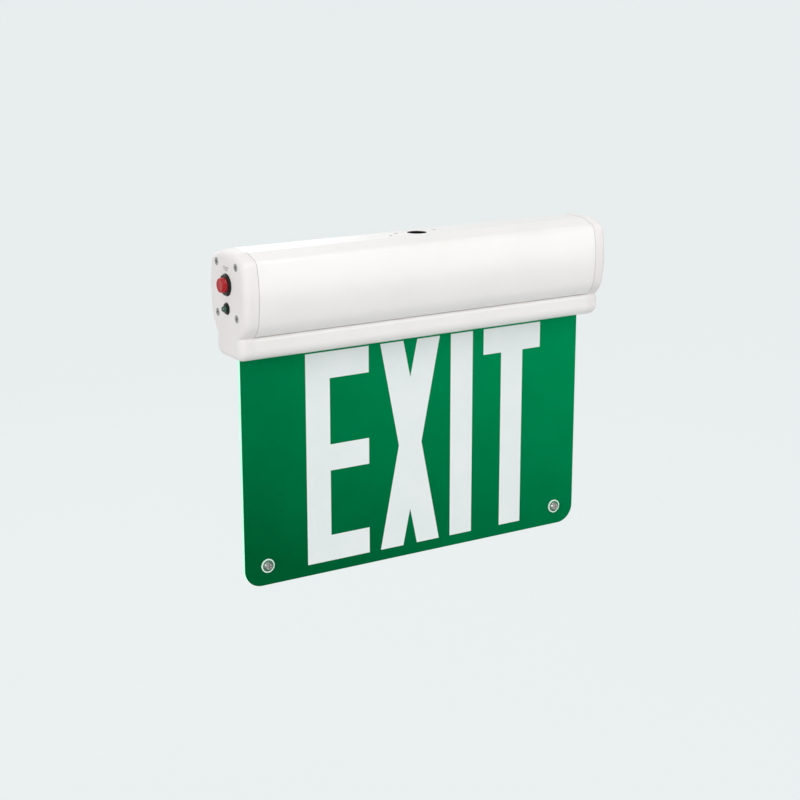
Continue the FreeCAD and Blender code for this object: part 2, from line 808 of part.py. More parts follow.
def sheet_holes(tag, back, thick):
    """Bores through one layer of the panel, for its studs and its clamp screws."""
    spots = [(x, stud_level) for x in stud_spots()] + [(x, clamp_level) for x in clamp_spots()]
    return [rod(f"{tag}_hole_{n}", (x, back, z), "-Y", screw_hole, thick) for n, (x, z) in enumerate(spots)]


def layer(tag, back, thick, extra=()):
    """One layer of the panel from its back face forwards."""
    blank = slab(f"{tag}_blank", "XZ_Plane", [panel_outline()], thick, (0, back, 0))
    return cut(f"{tag}_solid", blank, sheet_holes(tag, back, thick) + list(extra))


def letter_outlines():
    """The four letters as outlines, from left to right."""
    top = rail_bottom - letter_drop
    base = top - letter_height
    width = letter_e_width + letter_x_width + stroke + letter_t_width + letter_gap * 3
    left = legend_shift - width / 2

    def outline(start, points):
        return [((start + x, z),) for x, z in points[1:] + points[:1]]

    mid_top = top - middle_bar_drop
    letter_e = outline(left, [
        (0, top), (letter_e_width, top), (letter_e_width, top - stroke), (stroke, top - stroke),
        (stroke, mid_top), (letter_e_width, mid_top), (letter_e_width, mid_top - stroke),
        (stroke, mid_top - stroke), (stroke, base + stroke), (letter_e_width, base + stroke),
        (letter_e_width, base), (0, base)])
    left = left + letter_e_width + letter_gap
    centre = letter_x_width / 2
    waist = stroke / 2
    middle = (top + base) / 2
    letter_x = outline(left, [
        (0, top), (stroke, top), (centre, top - notch_depth), (letter_x_width - stroke, top),
        (letter_x_width, top), (centre + waist, middle), (letter_x_width, base),
        (letter_x_width - stroke, base), (centre, base + notch_depth), (stroke, base), (0, base),
        (centre - waist, middle)])
    left = left + letter_x_width + letter_gap
    letter_i = outline(left, [(0, top), (stroke, top), (stroke, base), (0, base)])
    left = left + stroke + letter_gap
    stem = (letter_t_width - stroke) / 2
    letter_t = outline(left, [
        (0, top), (letter_t_width, top), (letter_t_width, top - stroke), (stem + stroke, top - stroke),
        (stem + stroke, base), (stem, base), (stem, top - stroke), (0, top - stroke)])
    return [letter_e, letter_x, letter_i, letter_t]


def letters(tag):
    """The legend's four strokes-wide letters, as thick as the film."""
    return [slab(f"{tag}_{n}", "XZ_Plane", [steps], film_thick, (0, legend_face + film_thick, 0))
            for n, steps in enumerate(letter_outlines())]


def studs():
    """Screws, washers and nuts that pinch the layers together at the lower corners."""
    screws, fronts, backs, nuts = [], [], [], []
    rear = panel_thick / 2
    for number, x in enumerate(stud_spots()):
        front = (x, legend_face - washer_thick, stud_level)
        length = washer_thick * 2 + panel_thick + nut_height + stud_tail
        screws.append(pan_screw(f"panel_screw_{number}", front, "Y", screw_radius, length,
                                stud_head, stud_height))
        for tag, start, made in (("front", legend_face, fronts), ("back", rear + washer_thick, backs)):
            at = (x, start, stud_level)
            disc = rod(f"{tag}_washer_disc_{number}", at, "-Y", washer_radius, washer_thick)
            bore = rod(f"{tag}_washer_bore_{number}", at, "-Y", screw_hole, washer_thick)
            made.append(cut(f"{tag}_washer_{number}", disc, [bore]))
        seat = (x, rear + washer_thick, stud_level)
        block = hexagon(f"panel_nut_block_{number}", seat, "Y", nut_across, nut_height)
        bore = rod(f"panel_nut_bore_{number}", seat, "Y", screw_radius, nut_height)
        nuts.append(cut(f"panel_nut_{number}", block, [bore]))
    return screws, fronts, backs, nuts


def clamp_bars():
    """The two bars that pinch the panel's top and stand on the rail's lips."""
    bars = []
    low = rail_bottom + rail_lip
    for tag, near in (("front", -(panel_thick / 2) - bar_thick), ("back", panel_thick / 2)):
        bar = box(f"{tag}_bar", (-bar_length / 2, near, low),
                  (bar_length / 2, near + bar_thick, low + bar_height))
        bores = [rod(f"{tag}_bar_bore_{n}", (x, near, clamp_level), "Y", screw_hole, bar_thick)
                 for n, x in enumerate(clamp_spots())]
        bars.append(cut(f"clamp_bar_{tag}_solid", bar, bores))
    return bars


def clamp_screws():
    seat = -(panel_thick / 2) - bar_thick
    length = panel_thick + bar_thick * 2
    return group("clamp_screws_group", [
        pan_screw(f"clamp_screw_{n}", (x, seat, clamp_level), "Y", screw_radius, length,
                  pan_radius, pan_height)
        for n, x in enumerate(clamp_spots())])


# ---- lamp board ---------------------------------------------------------------------

def lamp_screw_spots():
    """X and Y of the lamp board's screws: one near each end and one by the middle."""
    end = lamp_length / 2 - lamp_screw_inset
    return [(-end, Size.of(0)), (chip_pitch / 2, Size.of(0)), (end, Size.of(0))]


def lamp_board():
    blank = box("lamp_board_blank", (-lamp_length / 2, -lamp_half, lamp_under),
                (lamp_length / 2, lamp_half, lamp_top))
    bores = [rod(f"lamp_board_bore_{n}", (*spot, lamp_under), "Z", small_hole, board_thick)
             for n, spot in enumerate(lamp_screw_spots())]
    return cut("lamp_board_solid", blank, bores)


def lamp_chips():
    """White lamps in a row under the board, as many as fit between its end screws."""
    reach = lamp_length.value / 2 - lamp_screw_inset.value - small_pan.value - chip_long.value / 2
    count = int(reach // chip_pitch.value)
    chips = []
    for step in range(-count, count + 1):
        middle = chip_pitch * step
        chips.append(box(f"lamp_chip_{step + count}",
                         (middle - chip_long / 2, -chip_wide / 2, lamp_under - chip_high),
                         (middle + chip_long / 2, chip_wide / 2, lamp_under)))
    return group("lamp_chips_group", chips)


def lamp_screws():
    return group("lamp_screws_group", [
        pan_screw(f"lamp_screw_{n}", (*spot, lamp_under), "Z", small_radius, board_thick + rail_web,
                  small_pan, small_height)
        for n, spot in enumerate(lamp_screw_spots())])


def rail_screws():
    return group("rail_screws_group", [
        pan_screw(f"rail_screw_{n}", (*spot, floor_top), "-Z", screw_radius, rail_screw_length,
                  pan_radius, pan_height)
        for n, spot in enumerate(rail_screw_spots())])


# ---- gear inside the housing --------------------------------------------------------

wire_hole = (wire_hole_at, wire_hole_back)


def board_screw_spots():
    return [(x, (board_half - standoff_inset) * side)
            for x in (board_left + standoff_end, board_right - standoff_end) for side in (-1, 1)]


def gear_tray():
    plate = box("tray_plate", (-tray_left, -tray_half, tray_bottom), (tray_right, tray_half, tray_top))
    bores = [rod(f"tray_bore_{n}", (*spot, tray_bottom), "Z", screw_hole, tray_thick)
             for n, spot in enumerate(tray_screw_spots())]
    bores.append(rod("tray_wire_hole", (*wire_hole, tray_bottom), "Z", wire_hole_radius, tray_thick))
    return cut("gear_tray_solid", plate, bores)


def tray_screws():
    return group("tray_screws_group", [
        pan_screw(f"tray_screw_{n}", (*spot, tray_top), "-Z", screw_radius, tray_screw_length,
                  pan_radius, pan_height)
        for n, spot in enumerate(tray_screw_spots())])


def board_standoffs():
    posts = []
    for number, spot in enumerate(board_screw_spots()):
        post = rod(f"standoff_post_{number}", (*spot, tray_top), "Z", standoff_radius, standoff_height)
        bore = rod(f"standoff_bore_{number}", (*spot, tray_top), "Z", screw_hole, standoff_height)
        posts.append(cut(f"standoff_{number}", post, [bore]))
    return group("board_standoffs_group", posts)


def circuit_board():
    plate = box("board_plate", (board_left, -board_half, board_bottom), (board_right, board_half, board_top))
    bores = [rod(f"board_bore_{n}", (*spot, board_bottom), "Z", screw_hole, board_thick)
             for n, spot in enumerate(board_screw_spots())]
    return cut("circuit_board_solid", plate, bores)


def board_screws():
    return group("board_screws_group", [
        pan_screw(f"board_screw_{n}", (*spot, board_top), "-Z", screw_radius, board_screw_length,
                  pan_radius, pan_height)
        for n, spot in enumerate(board_screw_spots())])


transformer_left = board_left + terminal_block_long + transformer_gap
transformer_right = transformer_left + transformer_long


def transformer():
    """A laminated core with two windows, and the winding round its middle limb."""
    front, back = -transformer_half, transformer_half
    low, high = board_top + yoke_high, board_top + transformer_high - yoke_high
    left, right = transformer_left + limb_wide, transformer_right - limb_wide
    middle = (left + right) / 2
    core = box("core_block", (transformer_left, front, board_top),
               (transformer_right, back, board_top + transformer_high))
    windows = [
        box("core_window_0", (left, front, low), (middle - limb_wide, back, high)),
        box("core_window_1", (middle + limb_wide, front, low), (right, back, high)),
    ]
    wound = box("winding_block", (left, front - winding_over, low), (right, back + winding_over, high))
    limb = box("winding_gap", (middle - limb_wide, front, low), (middle + limb_wide, back, high))
    return cut("transformer_core_solid", core, windows), cut("transformer_winding_solid", wound, [limb])


def capacitors():
    first = transformer_right + capacitor_radius + part_gap
    cans = []
    for side in (-1, 1):
        at = (first, (capacitor_radius + part_gap / 2) * side, board_top)
        cans.append(rod(f"capacitor_{side + 1}", at, "Z", capacitor_radius, capacitor_high))
    return group("capacitors_group", cans)


def relay():
    left = transformer_right + capacitor_radius * 2 + part_gap * 2
    return box("relay_block", (left, -relay_wide / 2, board_top),
               (left + relay_long, relay_wide / 2, board_top + relay_high))


def terminal_block():
    """A three-way supply terminal with a wire mouth and a screw well for each way."""
    left = board_left + board_edge
    front = -terminal_block_set - terminal_block_wide
    pitch = terminal_block_wide / 3
    top = board_top + terminal_block_high
    mouth = board_top + mouth_rise
    body = box("terminal_body", (left, front, board_top),
               (left + terminal_block_long, -terminal_block_set, top))
    taken = []
    screws = []
    for way in range(3):
        middle = front + pitch * (way + 0.5)
        well = (left + well_at, middle, top)
        face = well[2] - well_deep + slotted_high
        taken.append(box(f"terminal_mouth_{way}", (left, middle - mouth_wide / 2, mouth),
                         (left + mouth_deep, middle + mouth_wide / 2, mouth + mouth_high)))
        taken.append(rod(f"terminal_well_{way}", well, "-Z", small_pan, well_deep))
        head = rod(f"terminal_head_{way}", (*well[:2], face), "-Z", small_pan - screw_play, slotted_high)
        slit = box(f"terminal_slit_{way}",
                   (well[0] - small_pan, middle - slotted_wide / 2, face - slotted_deep),
                   (well[0] + small_pan, middle + slotted_wide / 2, face))
        screws.append(cut(f"terminal_screw_{way}", head, [slit]))
    return cut("terminal_block_solid", body, taken), group("terminal_screws_group", screws)


def plug_spots():
    """Y of the four lead sockets on the board, with the lead that each one takes."""
    names = ("battery", "lamp", "switch", "indicator")
    return [(tag, socket_first + socket_pitch * n) for n, tag in enumerate(names)]


def sockets_and_plugs():
    sockets, plugs = [], []
    left = board_left + board_edge
    half = socket_wide / 2
    thin = half - plug_inset
    for tag, middle in plug_spots():
        sockets.append(box(f"{tag}_socket", (left, middle - half, board_top),
                           (left + socket_long, middle + half, board_top + socket_high)))
        plugs.append(box(f"{tag}_plug", (left - plug_long, middle - thin, board_top + plug_inset),
                         (left, middle + thin, board_top + socket_high - plug_inset)))
    return group("board_sockets_group", sockets), group("lead_plugs_group", plugs)


# ---- battery ------------------------------------------------------------------------

battery_left = battery_right - battery_length
battery_level = floor_top + battery_radius


def battery_pack():
    """Two cells end to end in one shrink sleeve, with a waist where they meet."""
    sleeve = rod("battery_sleeve", (battery_left, 0, battery_level), "X", battery_radius, battery_length)
    middle = (battery_left + battery_right) / 2
    ring = doc.addObject("Part::Torus", "battery_waist")
    bind(ring, "Radius1", battery_radius + waist_out)
    bind(ring, "Radius2", waist_radius)
    place(ring, (middle, 0, battery_level), TURNS["X"])
    return cut("battery_pack_solid", sleeve, [ring])


def battery_saddles():
    """Sheet saddles bent over the battery, a foot each side on the floor."""
    made = []
    for number, middle in enumerate(saddle_spots()):
        start = middle - saddle_width / 2
        stop = middle + saddle_width / 2
        arch = battery_radius + saddle_thick
        out = arch + saddle_foot
        strap = fuse(f"saddle_blank_{number}", [
            rod(f"saddle_arch_{number}", (start, 0, battery_level), "X", arch, saddle_width),
            box(f"saddle_legs_{number}", (start, -arch, floor_top), (stop, arch, battery_level)),
            box(f"saddle_feet_{number}", (start, -out, floor_top), (stop, out, floor_top + saddle_thick)),
        ])
        taken = [
            rod(f"saddle_bore_{number}", (start, 0, battery_level), "X", battery_radius, saddle_width),
            box(f"saddle_gap_{number}", (start, -battery_radius, floor_top),
                (stop, battery_radius, battery_level)),
            box(f"saddle_under_{number}", (start, -arch, floor_top - saddle_thick), (stop, arch, floor_top)),
        ]
        for side in (-1, 1):
            at = (middle, (arch + saddle_foot / 2) * side, floor_top)
            taken.append(rod(f"saddle_hole_{number}_{side + 1}", at, "Z", small_hole, saddle_thick))
        made.append(cut(f"saddle_{number}", strap, taken))
    return group("battery_saddles_group", made)


def saddle_screws():
    return group("saddle_screws_group", [
        pan_screw(f"saddle_screw_{n}", (*spot, floor_top + saddle_thick), "-Z", small_radius,
                  saddle_thick + floor_thick, small_pan, small_height)
        for n, spot in enumerate(saddle_screw_spots())])


# ---- test button, switch and charge indicator ---------------------------------------

button_axis = (Size.of(0), -button_drop)
bezel_face = -end_face - bezel_thick
collar_face = bezel_face + collar_at
switch_back = -end_face + barrel_length
spring_solid = spring_wire * 2 * (spring_turns + 1)
bore_end = bezel_face + button_tail + button_travel + spring_solid + spring_slack


def switch_body():
    """The switch's threaded barrel and bezel, bored for the button and its collar."""
    whole = fuse("switch_blank", [
        cone("switch_bezel", (bezel_face, *button_axis), "X", bezel_radius - bezel_draft, bezel_radius,
             bezel_thick),
        rod("switch_barrel", (-end_face, *button_axis), "X", barrel_radius, barrel_length),
    ])
    return cut("switch_body_solid", whole, [
        rod("switch_mouth", (bezel_face, *button_axis), "X", button_radius + button_play, collar_at),
        rod("switch_bore", (collar_face, *button_axis), "X", collar_radius + button_play,
            bore_end - collar_face),
    ])


def test_button():
    """The red plunger: a crowned face, and a collar that stops it behind the bezel."""
    face = bezel_face - button_proud
    rim = face + button_bevel
    tail = bezel_face + button_tail
    stem = rod("button_stem", (rim, *button_axis), "X", button_radius, tail - rim)
    cap = cone("button_cap", (face, *button_axis), "X", button_radius - button_bevel, button_radius,
               button_bevel)
    collar = rod("button_collar", (collar_face + button_play, *button_axis), "X", collar_radius, collar_thick)
    return fuse("test_button_solid", [cap, stem, collar])


def button_spring():
    """A coil of square wire from the plunger's tail to the bottom of the bore."""
    tail = bezel_face + button_tail
    reach = (bore_end - tail - spring_wire * 2).value
    coil = Part.makeHelix(reach / spring_turns.value, reach, spring_radius.value)
    half = spring_wire.value
    near, far = spring_radius.value - half, spring_radius.value + half
    profile = Part.makePolygon([Vector(across, 0, along) for across, along in (
        (near, -half), (far, -half), (far, half), (near, half), (near, -half))])
    item = doc.addObject("Part::Feature", "button_spring_solid")
    item.Shape = Part.Wire(coil.Edges).makePipeShell([profile], True, True)
    return place(item, (tail + spring_wire, *button_axis), TURNS["X"])


def ring_nut(name, drop, bore, across, height):
    """A thin hexagonal nut behind the cap's face."""
    seat = (-end_face + cap_face, Size.of(0), -drop)
    block = hexagon(f"{name}_block", seat, "X", across, height)
    return cut(f"{name}_solid", block, [rod(f"{name}_bore", seat, "X", bore, height)])


def switch_terminals():
    blades = []
    for side in (-1, 1):
        level = -button_drop + terminal_spread * side
        low = (switch_back, -terminal_wide / 2, level - terminal_thick / 2)
        high = (switch_back + terminal_long, terminal_wide / 2, level + terminal_thick / 2)
        blades.append(box(f"switch_terminal_{side + 1}", low, high))
    return group("switch_terminals_group", blades)


lamp_axis = (Size.of(0), -lamp_drop)
lamp_bezel_face = -end_face - lamp_bezel_thick
lens_end = lamp_bezel_face + lens_tail


def indicator_bezel():
    whole = fuse("indicator_blank", [
        cone("indicator_flange", (lamp_bezel_face, *lamp_axis), "X", lamp_bezel_radius - lamp_bezel_draft,
             lamp_bezel_radius, lamp_bezel_thick),
        rod("indicator_barrel", (-end_face, *lamp_axis), "X", lamp_barrel_radius, lamp_barrel_length),
    ])
    bore = rod("indicator_bore", (lamp_bezel_face, *lamp_axis), "X", lens_radius + fit_play, lens_tail)
    return cut("indicator_bezel_solid", whole, [bore])


def indicator_lens():
    """A dome-ended lamp that fills the bezel's bore."""
    dome = doc.addObject("Part::Sphere", "lens_dome")
    bind(dome, "Radius", lens_radius)
    centre = lamp_bezel_face - lens_proud + lens_radius
    place(dome, (centre, *lamp_axis))
    stem = rod("lens_stem", (centre, *lamp_axis), "X", lens_radius, lens_end - centre)
    return fuse("indicator_lens_solid", [dome, stem])


# ---- leads --------------------------------------------------------------------------

def bent_wire(points, radius, bend):
    """A round wire of straight runs, with an arc of the bend radius at each corner.

    Where a run is too short for two such arcs, the arc reaches less than half along it.
    """
    edges = []
    start = points[0]
    for before, corner, after in zip(points, points[1:], points[2:]):
        back, ahead = before - corner, after - corner
        half = back.getAngle(ahead) / 2
        reach = min(bend / math.tan(half), back.Length * 0.45, ahead.Length * 0.45)
        back.normalize()
        ahead.normalize()
        inward = (back + ahead).normalize()
        through = corner + inward * (reach / math.cos(half) - reach * math.tan(half))
        first, last = corner + back * reach, corner + ahead * reach
        edges += [Part.LineSegment(start, first).toShape(), Part.Arc(first, through, last).toShape()]
        start = last
    edges.append(Part.LineSegment(start, points[-1]).toShape())
    ring = Part.Wire(Part.Circle(points[0], points[1] - points[0], radius).toShape())
    return Part.Wire(edges).makePipeShell([ring], True, False)


def lead_pair(tag, route, spread, gaps=None):
    """Two insulated wires side by side.

    ``route`` lists the middle points and ``spread`` is the axis along which the wires
    part.  ``gaps`` gives their spacing at the first points, where it isn't the usual one.
    """
    gaps = [*(gaps or []), *[lead_spacing] * len(route)]
    wires = []
    for side in (-0.5, 0.5):
        points = [Vector(*[Size.of(c).value for c in shift(point, spread, gap * side)])
                  for point, gap in zip(route, gaps)]
        wires.append(bent_wire(points, lead_radius.value, lead_bend.value))
    item = doc.addObject("Part::Feature", f"{tag}_solid")
    item.Shape = Part.Compound(wires)
    return item


def plug_end(tag):
    """The last points of a lead that enters its plug from the left."""
    end = (board_left + board_edge - plug_long - lead_play, dict(plug_spots())[tag],
           board_top + socket_high / 2)
    return [shift(end, "-X", lead_straight), end]


def battery_leads():
    start = (battery_right + lead_play, Size.of(0), battery_level)
    across = wire_hole_back - lead_spacing
    return lead_pair("battery_leads", [
        start,
        shift(start, "X", lead_straight),
        (wire_hole_at - hole_inset, across, tray_bottom),
        (wire_hole_at - hole_inset, across, board_bottom),
        *plug_end("battery"),
    ], "Y")


def lamp_leads():
    across, back = lamp_wire_spot()
    under = lamp_under - lead_radius * 2
    return lead_pair("lamp_leads", [
        (across + chip_pitch, lamp_half - lead_spacing, under),
        (across + chip_pitch / 2, back - lamp_wire_gap, under - lead_radius),
        (across, back, lamp_top),
        (across, back, floor_top),
        (wire_hole_at + hole_inset, wire_hole_back + lead_spacing, tray_bottom),
        (wire_hole_at + hole_inset, wire_hole_back + lead_spacing, tray_top),
        *plug_end("lamp"),
    ], "Y")


def switch_leads():
    start = (switch_back + terminal_long + lead_play, Size.of(0), -button_drop)
    level = board_top + socket_high / 2
    return lead_pair("switch_leads", [
        start,
        shift(start, "X", lead_straight),
        (-tray_screw_at, switch_lead_half / 2, level),
        (-tray_screw_at / 2, switch_lead_half, level),
        *plug_end("switch"),
    ], "Z", [terminal_spread * 2, terminal_spread * 2])


def indicator_leads():
    start = (-end_face + lamp_barrel_length + lead_play, Size.of(0), -lamp_drop)
    level = tray_top + lead_rise
    return lead_pair("indicator_leads", [
        start,
        shift(start, "X", lead_straight),
        (-tray_screw_at - rest_height, switch_lead_half / 2, level),
        (-tray_screw_at / 2, indicator_lead_half, level),
        (-wire_hole_at, indicator_lead_half, level),
        *plug_end("indicator"),
    ], "Z")


# ---- the sub-parts ------------------------------------------------------------------

def make_parts():
    keep(housing_shell(), "housing_shell")
    keep(lower_rail(), "lower_rail")
    for side, tag in ((-1, "left"), (1, "right")):
        keep(end_cap(side), f"{tag}_end_cap")
        keep(cap_screws(side), f"{tag}_cap_screws")
    keep(cable_grommet(), "cable_grommet")
    rear = panel_thick / 2
    keep(layer("reflector", rear, film_thick), "reflector_sheet")
    keep(layer("guide", rear - film_thick, guide_thick), "light_panel")
    keep(layer("legend", legend_face + film_thick, film_thick, letters("cutout")), "legend_film")
    keep(group("letters_group", letters("letter")), "exit_letters")
    for made, label in zip(studs(), ("panel_screws", "front_washers", "back_washers", "panel_nuts")):
        keep(group(f"{label}_group", made), label)
    for bar, tag in zip(clamp_bars(), ("front", "back")):
        keep(bar, f"clamp_bar_{tag}")
    keep(clamp_screws(), "clamp_screws")
    keep(lamp_board(), "lamp_board")
    keep(lamp_chips(), "lamp_chips")
    keep(lamp_screws(), "lamp_screws")
    keep(rail_screws(), "rail_screws")
    keep(gear_tray(), "gear_tray")
    keep(tray_screws(), "tray_screws")
    keep(board_standoffs(), "board_standoffs")
    keep(circuit_board(), "circuit_board")
    keep(board_screws(), "board_screws")
    for made, label in zip(transformer(), ("transformer_core", "transformer_winding")):
        keep(made, label)
    keep(capacitors(), "capacitors")
    keep(relay(), "relay")
    for made, label in zip(terminal_block(), ("terminal_block", "terminal_screws")):
        keep(made, label)
    for made, label in zip(sockets_and_plugs(), ("board_sockets", "lead_plugs")):
        keep(made, label)
    keep(battery_pack(), "battery_pack")
    keep(battery_saddles(), "battery_saddles")
    keep(saddle_screws(), "saddle_screws")
    keep(switch_body(), "switch_body")
    keep(ring_nut("switch_nut", button_drop, barrel_radius, switch_nut_across, switch_nut_height),
         "switch_nut")
    keep(test_button(), "test_button")
    keep(button_spring(), "button_spring")
    keep(switch_terminals(), "switch_terminals")
    keep(indicator_bezel(), "indicator_bezel")
    keep(indicator_lens(), "indicator_lens")
    keep(ring_nut("indicator_nut", lamp_drop, lamp_barrel_radius, lamp_nut_across, lamp_nut_height),
         "indicator_nut")
    keep(battery_leads(), "battery_leads")
    keep(lamp_leads(), "lamp_leads")
    keep(switch_leads(), "switch_leads")
    keep(indicator_leads(), "indicator_leads")


make_parts()
doc.recompute()
failed = [item.Name for item in doc.Objects if "Invalid" in item.State or "Error" in item.State]
failed += [item.Label for item in named if item.Shape.isNull() or not item.Shape.isValid()]
if failed:
    raise RuntimeError(f"objects not built: {failed}")

os.makedirs("parts", exist_ok=True)
for item in named:
    item.Shape.exportStep(f"parts/{item.Label}.step")
print(f"{len(named)} sub-parts written")
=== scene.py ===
"""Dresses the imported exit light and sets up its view.

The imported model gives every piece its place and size, in metres: +X runs along the
sign, -Y out of the legend and +Z up to the ceiling.  New pieces are surfaces worked
out as whole numpy arrays, and every finish is a node material on object coordinates.
"""
from __future__ import annotations

import json
import logging
import math
from dataclasses import dataclass, field
from enum import Enum

import bmesh
import bpy
import numpy as np
from mathutils import Matrix, Vector


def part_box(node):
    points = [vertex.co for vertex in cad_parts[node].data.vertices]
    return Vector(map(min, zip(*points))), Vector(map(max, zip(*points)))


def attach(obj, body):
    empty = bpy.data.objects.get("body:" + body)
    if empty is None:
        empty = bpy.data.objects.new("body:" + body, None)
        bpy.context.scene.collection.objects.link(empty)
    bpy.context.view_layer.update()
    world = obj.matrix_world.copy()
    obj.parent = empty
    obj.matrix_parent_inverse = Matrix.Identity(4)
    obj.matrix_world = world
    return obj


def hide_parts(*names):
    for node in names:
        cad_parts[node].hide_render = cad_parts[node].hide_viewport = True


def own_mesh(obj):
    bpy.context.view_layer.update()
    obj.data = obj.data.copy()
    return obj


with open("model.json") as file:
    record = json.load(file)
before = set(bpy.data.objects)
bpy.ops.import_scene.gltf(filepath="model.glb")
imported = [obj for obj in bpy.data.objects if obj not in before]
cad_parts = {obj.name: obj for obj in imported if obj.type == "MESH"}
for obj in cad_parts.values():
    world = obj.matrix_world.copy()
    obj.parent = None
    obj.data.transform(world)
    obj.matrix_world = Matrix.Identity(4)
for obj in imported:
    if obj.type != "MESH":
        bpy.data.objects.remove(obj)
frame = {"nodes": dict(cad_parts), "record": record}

logging.basicConfig(level=logging.INFO, format="%(message)s")
log = logging.getLogger("exit_light")

HOUSING = "housing"
PLUNGER = "plunger"
COAT_ROUGHNESS = 0.12
CLEAR_SHARE = 0.85
ACRYLIC_INDEX = 1.49
SAME_POINT = 1e-7


# ---- colour and node helpers --------------------------------------------------------

def linear(red: int, green: int, blue: int) -> tuple[float, float, float, float]:
    """Scene-linear colour of an sRGB triple of 0 to 255."""
    shares = np.array([red, green, blue]) / 255.0
    dark = shares / 12.92
    light = ((shares + 0.055) / 1.055) ** 2.4
    return (*np.where(shares <= 0.04045, dark, light).tolist(), 1.0)


class Nodes:
    """A short way to add and join shader nodes in one tree."""

    def __init__(self, tree: bpy.types.NodeTree) -> None:
        """Start from an empty tree."""
        self.tree = tree
        tree.nodes.clear()

    def add(self, kind: str, **values: object) -> bpy.types.Node:
        """Add a node.

        Args:
            kind: the node's type name without its ShaderNode prefix.
            values: properties, or socket values where the name starts with ``in_``.

        Returns:
            The new node.
        """
        node = self.tree.nodes.new(f"ShaderNode{kind}")
        for name, value in values.items():
            if name.startswith("in_"):
                node.inputs[name[3:].replace("_", " ")].default_value = value
            else:
                setattr(node, name, value)
        return node

    def join(self, source: bpy.types.NodeSocket, target: bpy.types.NodeSocket) -> None:
        """Link two sockets."""
        self.tree.links.new(source, target)

    def object_space(self, scale: tuple[float, float, float] = (1.0, 1.0, 1.0)) -> bpy.types.NodeSocket:
        """Object coordinates, stretched by a scale along each axis."""
        place = self.add("TexCoord")
        mapping = self.add("Mapping")
        mapping.inputs["Scale"].default_value = scale
        self.join(place.outputs["Object"], mapping.inputs["Vector"])
        return mapping.outputs["Vector"]

    def noise(self, where: bpy.types.NodeSocket, scale: float, detail: float = 3.0) -> bpy.types.NodeSocket:
        """A smooth noise of 0 to 1 at a place."""
        node = self.add("TexNoise", in_Scale=scale, in_Detail=detail, in_Roughness=0.55)
        self.join(where, node.inputs["Vector"])
        return node.outputs["Fac"]

    def span(self, value: bpy.types.NodeSocket, low: float, high: float,
             first: float = 0.3, last: float = 0.7) -> bpy.types.NodeSocket:
        """Map a value from the span first to last on to the span low to high."""
        node = self.add("MapRange", in_From_Min=first, in_From_Max=last, in_To_Min=low, in_To_Max=high)
        self.join(value, node.inputs["Value"])
        return node.outputs["Result"]

    def blend(self, share: bpy.types.NodeSocket, first: tuple[float, ...],
              second: tuple[float, ...]) -> bpy.types.NodeSocket:
        """Mix two colours by a share."""
        node = self.add("Mix", data_type="RGBA")
        node.inputs[6].default_value = first
        node.inputs[7].default_value = second
        self.join(share, node.inputs[0])
        return node.outputs[2]


class Kind(Enum):
    """What a finish is made of, for the sockets that set it apart."""

    SOLID = "solid"
    METAL = "metal"
    CLEAR = "clear"


@dataclass(frozen=True)
class Finish:
    """One surface finish: two close tones, gloss that varies, and a fine relief.

    Attributes:
        slot: the material slot it stands for.
        tone: its main sRGB colour.
        worn: the second colour of its slow variation.
        rough: lowest and highest roughness.
        grain: size of the relief's features in metres.
        relief: depth of the relief in metres.
        stretch: how far the grain is drawn out along X, Y and Z.
        patch: size of the colour's slow variation in metres.
        kind: solid, metal or clear.
        specular: strength of the plain reflection.
        coat: share of a clear coat.
        glow: strength of its own light; on the lamp parts it is lamp light, on the clear acrylic it is
            painted glow.
    """

    slot: str
    tone: tuple[int, int, int]
    worn: tuple[int, int, int]
    rough: tuple[float, float] = (0.4, 0.5)
    grain: float = 0.0008
    relief: float = 0.00001
    stretch: tuple[float, float, float] = (1.0, 1.0, 1.0)
    patch: float = 0.02
    kind: Kind = Kind.SOLID
    specular: float = 0.5
    coat: float = 0.0
    glow: float = 0.0

    def colour(self, nodes: Nodes) -> bpy.types.NodeSocket:
        """The base colour, drifting slowly between the two tones."""
        where = nodes.object_space()
        slow = nodes.noise(where, 1.0 / self.patch, 4.0)
        return nodes.blend(nodes.span(slow, 0.0, 1.0), linear(*self.tone), linear(*self.worn))

    def build(self) -> bpy.types.Material:
        """Make the node material.

        Returns:
            The material, named after its slot.
        """
        material = bpy.data.materials.new(self.slot)
        material.use_nodes = True
        nodes = Nodes(material.node_tree)
        shader = nodes.add("BsdfPrincipled", in_Metallic=1.0 if self.kind is Kind.METAL else 0.0)
        shader.inputs["Specular IOR Level"].default_value = self.specular
        shader.inputs["Coat Weight"].default_value = self.coat
        shader.inputs["Coat Roughness"].default_value = COAT_ROUGHNESS
        if self.kind is Kind.CLEAR:
            shader.inputs["Transmission Weight"].default_value = CLEAR_SHARE
            shader.inputs["IOR"].default_value = ACRYLIC_INDEX
        base = self.colour(nodes)
        nodes.join(base, shader.inputs["Base Color"])
        if self.glow:
            nodes.join(base, shader.inputs["Emission Color"])
            shader.inputs["Emission Strength"].default_value = self.glow
        stretched = nodes.object_space(self.stretch)
        fine = nodes.noise(stretched, 1.0 / self.grain, 2.0)
        nodes.join(nodes.span(fine, *self.rough), shader.inputs["Roughness"])
        bump = nodes.add("Bump", in_Strength=1.0, in_Distance=self.relief)
        nodes.join(fine, bump.inputs["Height"])
        nodes.join(bump.outputs["Normal"], shader.inputs["Normal"])
        output = nodes.add("OutputMaterial")
        nodes.join(shader.outputs["BSDF"], output.inputs["Surface"])
        return material


